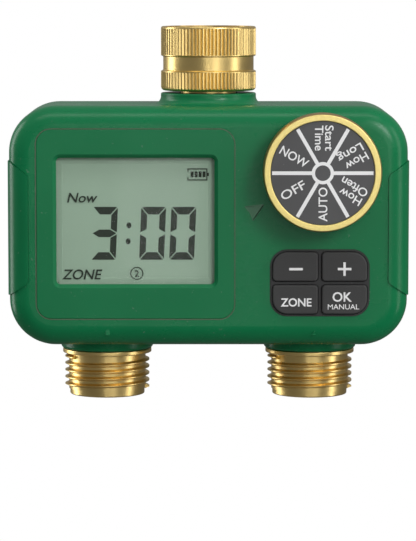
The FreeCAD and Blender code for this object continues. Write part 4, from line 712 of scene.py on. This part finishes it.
def finished_digit(outline, gone, place, slope):
    """A digit without the bars whose middles pass a test, leaning, at its place."""
    piece = copy_of(outline)
    pick(piece, "FACE", gone)
    bpy.ops.mesh.delete(type="FACE")
    everything(piece)
    bpy.ops.mesh.select_mode(type="FACE")
    bpy.ops.mesh.select_all(action="SELECT")
    bpy.ops.mesh.inset(thickness=sizes().digit_gap / 2, use_individual=True, use_even_offset=True)
    bpy.ops.mesh.select_all(action="INVERT")
    bpy.ops.mesh.delete(type="FACE")
    corner_x = sizes().digit_width / 2 - CORNER_REACH
    corner_z = sizes().digit_height / 2 - CORNER_REACH
    pick(piece, "VERT", lambda co, n: abs(co.x) > corner_x and abs(co.z) > corner_z)
    bpy.ops.mesh.bevel(offset=CORNER_CUT, segments=3, affect="VERTICES")
    leave(piece)
    lean = Matrix.Identity(4)
    lean[0][2] = slope
    piece.data.transform(lean)
    return shift(piece, place.x, 0, place.z)


class TIMER_OT_display_digits(bpy.types.Operator):
    """Seven-bar digits and the colon on the display"""
    bl_idname = "timer.display_digits"
    bl_label = "Display digits"

    def execute(self, context):
        front = lowest("lcd_module").y - sizes().print_height
        outline = digit_outline(front)
        side = sizes().digit_width / 4
        zero = finished_digit(outline, lambda co, n: abs(co.x) < side and abs(co.z) < side,
                              mm(MINUTE_PLACE, 0, DIGIT_HEIGHT_PLACE), SEGMENT_SLOPE)
        second = copy_of(zero)
        shift(second, MINUTE_STEP)
        three = finished_digit(outline, lambda co, n: co.x < -side,
                               mm(HOUR_PLACE, 0, DIGIT_HEIGHT_PLACE), SEGMENT_SLOPE)
        dots = []
        for x, z in COLON_DOTS:
            dot = disc(0, 0, 0, COLON_RADIUS, 20)
            dot.scale = (1, 1, COLON_STRETCH)
            dot.location = (x * MM, front, z * MM)
            dots.append(settle(dot))
        only(outline)
        bpy.ops.object.delete()
        piece = thicken(join([zero, second, three] + dots), sizes().print_height)
        hand_over(piece, "display_digits", "root", "display_ink")
        return {"FINISHED"}


WORD_GAP = 0.01 * MM  # from the back of the lens to the printed words
# words on the display: words, x, z, capital height, length, slant
DISPLAY_WORDS = [
    ("Now", -39.3, -54.40, 3.1, 9.5, 0.22), ("ZONE", -39.42, -78.49, 3.2, 12.57, 0.22),
    ("2", -22.37, -77.70, 2.1, 1.4, 0.0),
]
ZONE_CIRCLE = (-22.37, -76.65)
BATTERY_X, BATTERY_Z = -3.42, -45.69
BATTERY_LINE = 0.32 * MM
BATTERY_BARS = 4
BATTERY_BAR_STEP = 1.24


class TIMER_OT_display_words(bpy.types.Operator):
    """Words, the circled zone number and the battery mark on the display"""
    bl_idname = "timer.display_words"
    bl_label = "Display words"

    def execute(self, context):
        height = sizes().print_height
        front = highest("display_window").y + WORD_GAP
        words = [
            lettering(word, x * MM, front, z * MM, cap * MM, length * MM,
                      slant=slant, weight=0.012, depth=height)
            for word, x, z, cap, length, slant in DISPLAY_WORDS
        ]
        hand_over(join(words), "display_words", "root", "display_ink")

        circle_x, circle_z = ZONE_CIRCLE
        circle = ring_out(disc(circle_x * MM, front, circle_z * MM, 2.03 * MM), 0.30 * MM)
        outline = ring_out(
            plate(BATTERY_X * MM, front, BATTERY_Z * MM, 6.2 * MM, 3.75 * MM), BATTERY_LINE)
        pick(outline, "FACE", lambda co, n: co.x < -6.2 * MM)
        bpy.ops.mesh.delete(type="FACE")
        leave(outline)
        parts = [circle, outline]
        parts.append(plate(-0.08 * MM, front, BATTERY_Z * MM, 0.5 * MM, 1.0 * MM))
        for side in (-1, 1):
            parts.append(plate(-6.38 * MM, front, (BATTERY_Z + side * 1.35) * MM,
                               BATTERY_LINE, 1.0 * MM))
        bar = plate(-5.07 * MM, front, -45.65 * MM, 0.90 * MM, 1.80 * MM)
        round_corners(bar, 0.12 * MM, 2)
        parts.append(bar)
        for step in range(1, BATTERY_BARS):
            parts.append(shift(copy_of(bar), BATTERY_BAR_STEP * step * MM))
        hand_over(thicken(join(parts), height), "display_marks", "root", "display_ink")
        return {"FINISHED"}


class TIMER_OT_display_border(bpy.types.Operator):
    """The shallow step round the display under the lens, a little darker than the display as
    painted shade from the lens's edge
    """
    bl_idname = "timer.display_border"
    bl_label = "Display border"

    def execute(self, context):
        face = lowest("lcd_module").y
        back_of_lens = highest("display_window").y
        low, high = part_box("display_window")
        inset = 0.15 * MM
        front = (face + back_of_lens) / 2 - 0.05 * MM
        wide = high.x - low.x - 2 * inset
        tall = high.z - low.z - 2 * inset
        piece = plate((low.x + high.x) / 2, front, (low.z + high.z) / 2, wide, tall)
        round_corners(piece, 1.2 * MM)
        everything(piece)
        bpy.ops.mesh.inset(thickness=2.75 * MM, use_even_offset=True)
        bpy.ops.transform.translate(value=(0, 0.06 * MM, 0))
        bpy.ops.mesh.inset(thickness=0.16 * MM, use_even_offset=True)
        bpy.ops.transform.translate(value=(0, face - front - 0.07 * MM, 0))
        bpy.ops.mesh.delete(type="FACE")
        leave(piece)
        thicken(piece, 0.012 * MM)
        hand_over(piece, "display_border", "root", "display_edge_painted_shade")
        return {"FINISHED"}


# ------------------------------------------------------------------ dial
# each line of words: sector's angle, words, middle and offset across the sector, cap, length
DIAL_WORDS = [
    (90, "Start", 10.77, 0.70, 2.66, 7.8), (90, "Time", 10.77, -2.42, 2.66, 7.7),
    (30, "How", 10.85, 0.75, 2.66, 7.5), (30, "Long", 10.45, -2.45, 2.66, 8.4),
    (-30, "How", 10.9, 0.80, 2.66, 7.4), (-30, "Often", 10.5, -2.40, 2.66, 8.9),
    (270, "AUTO", 9.65, -1.38, 2.80, 10.5), (210, "OFF", 10.55, -1.35, 2.80, 8.2),
    (150, "NOW", 10.1, -1.38, 2.80, 9.4),
]


class TIMER_OT_dial_printing(bpy.types.Operator):
    """White dividers, hub ring and words on the dial's disc"""
    bl_idname = "timer.dial_printing"
    bl_label = "Dial printing"

    def execute(self, context):
        hub = centre("dial_label")
        height = sizes().print_height
        front = lowest("dial_label").y - height
        width = sizes().divider_width
        inner, outer = 2.9 * MM, 15.55 * MM
        first = plate(hub.x + (inner + outer) / 2, front, hub.z, outer - inner, width)
        parts = [first]
        for step in range(1, sizes().divider_count):
            spoke = copy_of(first)
            everything(spoke)
            bpy.ops.transform.rotate(value=2 * math.pi * step / sizes().divider_count,
                                     orient_axis="Y", center_override=(hub.x, front, hub.z))
            parts.append(leave(spoke))
        parts.append(ring_out(disc(hub.x, front - 0.01 * MM, hub.z, 3.42 * MM), 1.02 * MM))
        hand_over(thicken(join(parts), height), "dial_dividers", "dial", "white_ink")

        lines = []
        for angle, words, reach, offset, cap, length in DIAL_WORDS:
            turn = math.radians(angle)
            out = Vector((math.cos(turn), 0, math.sin(turn)))
            across = Vector((math.sin(turn), 0, -math.cos(turn)))
            stand = hub + reach * MM * out + offset * MM * across
            lines.append(lettering(words, stand.x, front, stand.z, cap * MM, length * MM,
                                   turn=turn + math.pi, weight=0.012, depth=height))
        hand_over(join(lines), "dial_words", "dial", "white_ink")
        return {"FINISHED"}


class TIMER_OT_pointer(bpy.types.Operator):
    """The swept arrow beside the dial, with a lighter outline that is a painted highlight on its
    raised edge
    """
    bl_idname = "timer.pointer"
    bl_label = "Pointer"

    def execute(self, context):
        front = lowest("display_surround").y - 0.08 * MM
        corners = {(-1, 1): (11.05, -55.40), (1, 1): (17.45, -54.75),
                   (1, -1): (13.85, -60.15), (-1, -1): (12.80, -57.45)}
        piece = plate(0, front, 0, 2 * MM, 2 * MM)
        for (side, rise), (x, z) in corners.items():
            pick(piece, "VERT", lambda co, n: (co - mm(side, front / MM, rise)).length < 0.2 * MM)
            bpy.ops.transform.translate(value=((x - side) * MM, 0, (z - rise) * MM))
        everything(piece)
        bpy.ops.mesh.select_mode(type="VERT")
        bpy.ops.mesh.bevel(offset=0.35 * MM, segments=2, affect="VERTICES")
        leave(piece)
        everything(piece)
        bpy.ops.mesh.inset(thickness=0.34 * MM, use_even_offset=True)
        bpy.ops.transform.translate(value=(0, -0.1 * MM, 0))
        leave(piece)
        # Slot 0, the outline, is lighter than the fill: a painted highlight on the arrow's raised
        # edge.
        piece.data.materials.append(bpy.data.materials["pointer_edge_painted_highlight"])
        piece.data.materials.append(bpy.data.materials["pointer_green"])
        piece.data.polygons.foreach_set(
            "material_index",
            [1 if face.normal.y < -0.999 and abs(face.center.y - front) > 0.05 * MM else 0
             for face in piece.data.polygons])
        thicken(piece, 0.3 * MM)
        hand_over(piece, "dial_pointer", "root", None)
        return {"FINISHED"}


# ------------------------------------------------------------------ keys
SIGN_LENGTH, SIGN_WIDTH = 4.25, 0.76
MINUS_PLACE = (27.24, -74.93)
PLUS_PLACE = (42.35, -74.90)


def key_bar(x, z, width, height, front):
    bar = plate(x * MM, front, z * MM, width * MM, height * MM)
    return round_corners(bar, 0.1 * MM, 2)


class TIMER_OT_key_legends(bpy.types.Operator):
    """Signs and words on the four keys"""
    bl_idname = "timer.key_legends"
    bl_label = "Key legends"

    def execute(self, context):
        height = sizes().print_height
        front = lowest("key_minus").y - height
        minus = key_bar(*MINUS_PLACE, SIGN_LENGTH, SIGN_WIDTH, front)
        hand_over(thicken(minus, height), "key_minus_sign", "minus", "white_ink")
        level = key_bar(*PLUS_PLACE, SIGN_LENGTH, SIGN_WIDTH, front)
        post = key_bar(*PLUS_PLACE, SIGN_WIDTH, SIGN_LENGTH, front - 0.005 * MM)
        plus = join([thicken(level, height), thicken(post, height)])
        hand_over(plus, "key_plus_sign", "plus", "white_ink")
        zone = lettering("ZONE", 27.33 * MM, front, -86.56 * MM, 2.6 * MM, 9.6 * MM,
                         weight=0.02, depth=height)
        hand_over(zone, "key_zone_word", "zone", "white_ink")
        words = join([
            lettering("OK", 41.67 * MM, front, -85.04 * MM, 3.0 * MM, 6.05 * MM,
                      weight=0.02, depth=height),
            lettering("MANUAL", 42.06 * MM, front, -87.50 * MM, 1.65 * MM, 9.8 * MM,
                      weight=0.008, depth=height),
        ])
        hand_over(words, "key_ok_words", "ok", "white_ink")
        return {"FINISHED"}


# ------------------------------------------------------------------ case and fittings
def seam(name, node, shrink, corner, width, front, finish):
    """A thin line round a node's outline, as seen from the front."""
    low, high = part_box(node)
    piece = plate((low.x + high.x) / 2, front, (low.z + high.z) / 2,
                  high.x - low.x - 2 * shrink, high.z - low.z - 2 * shrink)
    round_corners(piece, corner, 10)
    thicken(ring_out(piece, width), 0.3 * MM)
    hand_over(piece, name, "root", finish)


class TIMER_OT_seams(bpy.types.Operator):
    """The fine lines round the display panel and the keypad; the black one round the keypad is a
    painted shadow in its gap
    """
    bl_idname = "timer.seams"
    bl_label = "Seams"

    def execute(self, context):
        face = lowest("display_surround").y
        seam("panel_seam", "display_surround", -0.31 * MM, 4.95 * MM, 0.27 * MM,
             face + 0.06 * MM, "bead_olive")
        # A near-black line in the gap round the keypad: painted shadow.
        seam("keypad_seam", "keypad_frame", 1.28 * MM, 5.4 * MM, 0.24 * MM,
             face - 0.06 * MM, "painted_gap_shadow")
        return {"FINISHED"}


OUTLET_NUMBERS = (("1", -31.4), ("2", 32.9))
OUTLET_NUMBER_HEIGHT = -95.75


class TIMER_OT_outlet_numbers(bpy.types.Operator):
    """Raised numbers above the two outlets"""
    bl_idname = "timer.outlet_numbers"
    bl_label = "Outlet numbers"

    def execute(self, context):
        front = lowest("front_shell").y + 0.12 * MM
        for number, x in OUTLET_NUMBERS:
            piece = lettering(number, x * MM, front, OUTLET_NUMBER_HEIGHT * MM, 2.3 * MM,
                              1.3 * MM, weight=0.01, depth=1.0 * MM)
            hand_over(piece, f"outlet_number_{number}", "root", "case_green")
        return {"FINISHED"}


THREAD_WALL, THREAD_CREST = 13.58 * MM, 12.45 * MM
THREAD_START = 1.4 * MM  # below the collar's mouth
THREAD_TURNS = 3.8
THREAD_FACETS = 40  # a turn
THREAD_ROOT_SHARE = 0.8  # of the pitch
THREAD_CREST_SHARE = 0.28  # of the root's width


class TIMER_OT_inlet_thread(bpy.types.Operator):
    """The thread inside the inlet collar"""
    bl_idname = "timer.inlet_thread"
    bl_label = "Inlet thread"

    def execute(self, context):
        pitch = sizes().thread_pitch
        wall, crest, turns = THREAD_WALL, THREAD_CREST, THREAD_TURNS
        start = highest("inlet_collar").z - THREAD_START
        deselect()
        bpy.ops.mesh.primitive_plane_add(size=1, location=((wall + crest) / 2, 0, start),
                                         rotation=(UPRIGHT, 0, 0))
        piece = bpy.context.object
        piece.scale = (wall - crest, THREAD_ROOT_SHARE * pitch, 1)
        settle(piece)
        pick(piece, "VERT", lambda co, n: co.x < (wall + crest) / 2)
        bpy.ops.transform.resize(value=(1, 1, THREAD_CREST_SHARE),
                                 center_override=(crest, 0, start))
        leave(piece)
        modifier(piece, "SCREW", axis="Z", angle=2 * math.pi * turns, screw_offset=-pitch * turns,
                 steps=int(THREAD_FACETS * turns), render_steps=int(THREAD_FACETS * turns),
                 iterations=1, use_merge_vertices=False)
        hand_over(face_out(piece), "inlet_thread_ridge", "inlet_swivel", "turned_brass")
        return {"FINISHED"}


RIB_COUNT = 5
RIB_SIZE = (22 * MM, 1.0 * MM, 0.9 * MM)
RIB_STEP = 1.9 * MM
RIB_ROUND = 0.3 * MM
RIB_START = 8.5 * MM  # from the door's lower end
RIB_DEPTH = 1.8 * MM  # from the door's rearmost face


class TIMER_OT_door_ribs(bpy.types.Operator):
    """Thumb ribs across the lower end of the battery door"""
    bl_idname = "timer.door_ribs"
    bl_label = "Door ribs"

    def execute(self, context):
        face = highest("battery_door").y - RIB_DEPTH
        across = centre("battery_door").x
        low = lowest("battery_door").z
        deselect()
        bpy.ops.mesh.primitive_cube_add(size=1, location=(across, face, low + RIB_START))
        first = bpy.context.object
        first.scale = RIB_SIZE
        ribs = [soften(settle(first), RIB_ROUND, 3)]
        for step in range(1, RIB_COUNT):
            ribs.append(shift(copy_of(first), dz=RIB_STEP * step))
        hand_over(join(ribs), "door_ribs", "door", "case_green")
        return {"FINISHED"}


# ------------------------------------------------------------------ studio
# each light: name, place, aimed at, width and height in metres, share of the light power
LIGHTS = [
    ("key_light", (0.42, -0.70, 0.30), (0, 0, -0.06), 0.26, 0.30, 1.15),
    ("soft_box", (0.27, -0.86, -0.02), (0, 0, -0.06), 0.26, 0.40, 0.22),
    ("front_strip", (-0.03, -0.90, 0.0), (0, 0, -0.04), 0.05, 0.50, 0.15),
    ("top_light", (0.0, -0.26, 0.58), (0, 0, -0.05), 0.80, 0.14, 0.5),
    ("right_light", (0.58, -0.20, 0.02), (0, 0, -0.06), 0.16, 0.70, 0.4),
    ("left_light", (-0.59, 0.19, 0.02), (0, 0, -0.06), 0.24, 0.70, 0.8),
]
FLOOR_DROP = 0.62
CAMERA_PLACE = (-0.00013, -0.92883, 0.01594)
CAMERA_TILT = math.radians(84.231)
CAMERA_LENS = 194.3


class TIMER_OT_studio(bpy.types.Operator):
    """Pale floor, soft lights, plain surroundings and the camera"""
    bl_idname = "timer.studio"
    bl_label = "Studio"

    def execute(self, context):
        scene = context.scene
        scene.view_settings.view_transform = "Standard"
        scene.view_settings.look = "None"
        self.floor()
        self.surroundings(scene)
        for name, place, aim, width, height, share in LIGHTS:
            lamp = bpy.data.lights.new(name, "AREA")
            lamp.shape = "RECTANGLE"
            lamp.size = width
            lamp.size_y = height
            lamp.energy = share * sizes().light_power
            stand = bpy.data.objects.new(name, lamp)
            scene.collection.objects.link(stand)
            stand.location = place
            stand.rotation_euler = (Vector(aim) - Vector(place)).to_track_quat("-Z", "Y").to_euler()
            stand.visible_camera = False
        lens = bpy.data.cameras.new("camera")
        lens.sensor_width = 36.0
        lens.lens = CAMERA_LENS
        lens.clip_start = 0.01
        lens.clip_end = 100.0
        camera = bpy.data.objects.new("camera", lens)
        scene.collection.objects.link(camera)
        camera.location = CAMERA_PLACE
        camera.rotation_euler = (CAMERA_TILT, 0, 0)
        scene.camera = camera
        return {"FINISHED"}

    def floor(self):
        deselect()
        bpy.ops.mesh.primitive_plane_add(size=30, location=(0, 0, CAD_LOW.z - FLOOR_DROP))
        floor = bpy.context.object
        floor.name = "floor"
        made, tree, shader, place = start_finish("pale_floor")
        cloud = noise_node(tree, place, 1.5, 2.0)
        tree.links.new(blend_colours(tree, cloud, (0.24, 0.24, 0.24), (0.28, 0.28, 0.28)),
                       shader.inputs["Base Color"])
        shader.inputs["Roughness"].default_value = 0.8
        glow = tree.nodes.new("ShaderNodeEmission")
        seen = tree.nodes.new("ShaderNodeLightPath")
        mix = tree.nodes.new("ShaderNodeMixShader")
        tree.links.new(seen.outputs["Is Camera Ray"], mix.inputs["Fac"])
        tree.links.new(shader.outputs["BSDF"], mix.inputs[1])
        tree.links.new(glow.outputs["Emission"], mix.inputs[2])
        tree.links.new(mix.outputs["Shader"], tree.nodes["Material Output"].inputs["Surface"])
        floor.data.materials.append(made)

    def surroundings(self, scene):
        world = bpy.data.worlds.new("studio")
        scene.world = world
        world.use_nodes = True
        tree = world.node_tree
        behind = tree.nodes["Background"]
        behind.inputs["Color"].default_value = (1, 1, 1, 1)
        behind.inputs["Strength"].default_value = 1.0
        around = tree.nodes.new("ShaderNodeBackground")
        coordinates = tree.nodes.new("ShaderNodeTexCoord")
        split = tree.nodes.new("ShaderNodeSeparateXYZ")
        tree.links.new(coordinates.outputs["Generated"], split.inputs["Vector"])
        rise = tree.nodes.new("ShaderNodeMapRange")
        rise.inputs["From Min"].default_value = -0.6
        rise.inputs["From Max"].default_value = 0.9
        rise.inputs["To Min"].default_value = 0.20
        rise.inputs["To Max"].default_value = 0.55
        tree.links.new(split.outputs["Z"], rise.inputs["Value"])
        tree.links.new(rise.outputs["Result"], around.inputs["Strength"])
        seen = tree.nodes.new("ShaderNodeLightPath")
        mix = tree.nodes.new("ShaderNodeMixShader")
        tree.links.new(seen.outputs["Is Camera Ray"], mix.inputs["Fac"])
        tree.links.new(around.outputs["Background"], mix.inputs[1])
        tree.links.new(behind.outputs["Background"], mix.inputs[2])
        tree.links.new(mix.outputs["Shader"], tree.nodes["World Output"].inputs["Surface"])


# ------------------------------------------------------------------ panel and registration
STEPS = (
    TIMER_OT_finishes, TIMER_OT_display_border, TIMER_OT_display_digits,
    TIMER_OT_display_words, TIMER_OT_dial_printing, TIMER_OT_pointer, TIMER_OT_key_legends,
    TIMER_OT_seams, TIMER_OT_outlet_numbers, TIMER_OT_inlet_thread, TIMER_OT_door_ribs,
    TIMER_OT_studio,
)


class TIMER_PT_panel(bpy.types.Panel):
    """Sizes, colours and the steps that dress the timer"""
    bl_label = "Hose timer"
    bl_idname = "TIMER_PT_panel"
    bl_space_type = "VIEW_3D"
    bl_region_type = "UI"
    bl_category = "Timer"

    def draw(self, context):
        layout = self.layout
        for group in (context.scene.timer_sizes, context.scene.timer_colours):
            for name in group.bl_rna.properties.keys():
                if name not in ("rna_type", "name"):
                    layout.prop(group, name)
        for step in STEPS:
            layout.operator(step.bl_idname)


CLASSES = (TimerSizes, TimerColours) + STEPS + (TIMER_PT_panel,)


def register():
    for kind in CLASSES:
        bpy.utils.register_class(kind)
    bpy.types.Scene.timer_sizes = PointerProperty(type=TimerSizes)
    bpy.types.Scene.timer_colours = PointerProperty(type=TimerColours)


def unregister():
    del bpy.types.Scene.timer_colours
    del bpy.types.Scene.timer_sizes
    for kind in reversed(CLASSES):
        bpy.utils.unregister_class(kind)


def main():
    register()
    for step in STEPS:
        group, name = step.bl_idname.split(".")
        getattr(getattr(bpy.ops, group), name)()


if __name__ == "__main__":
    main()
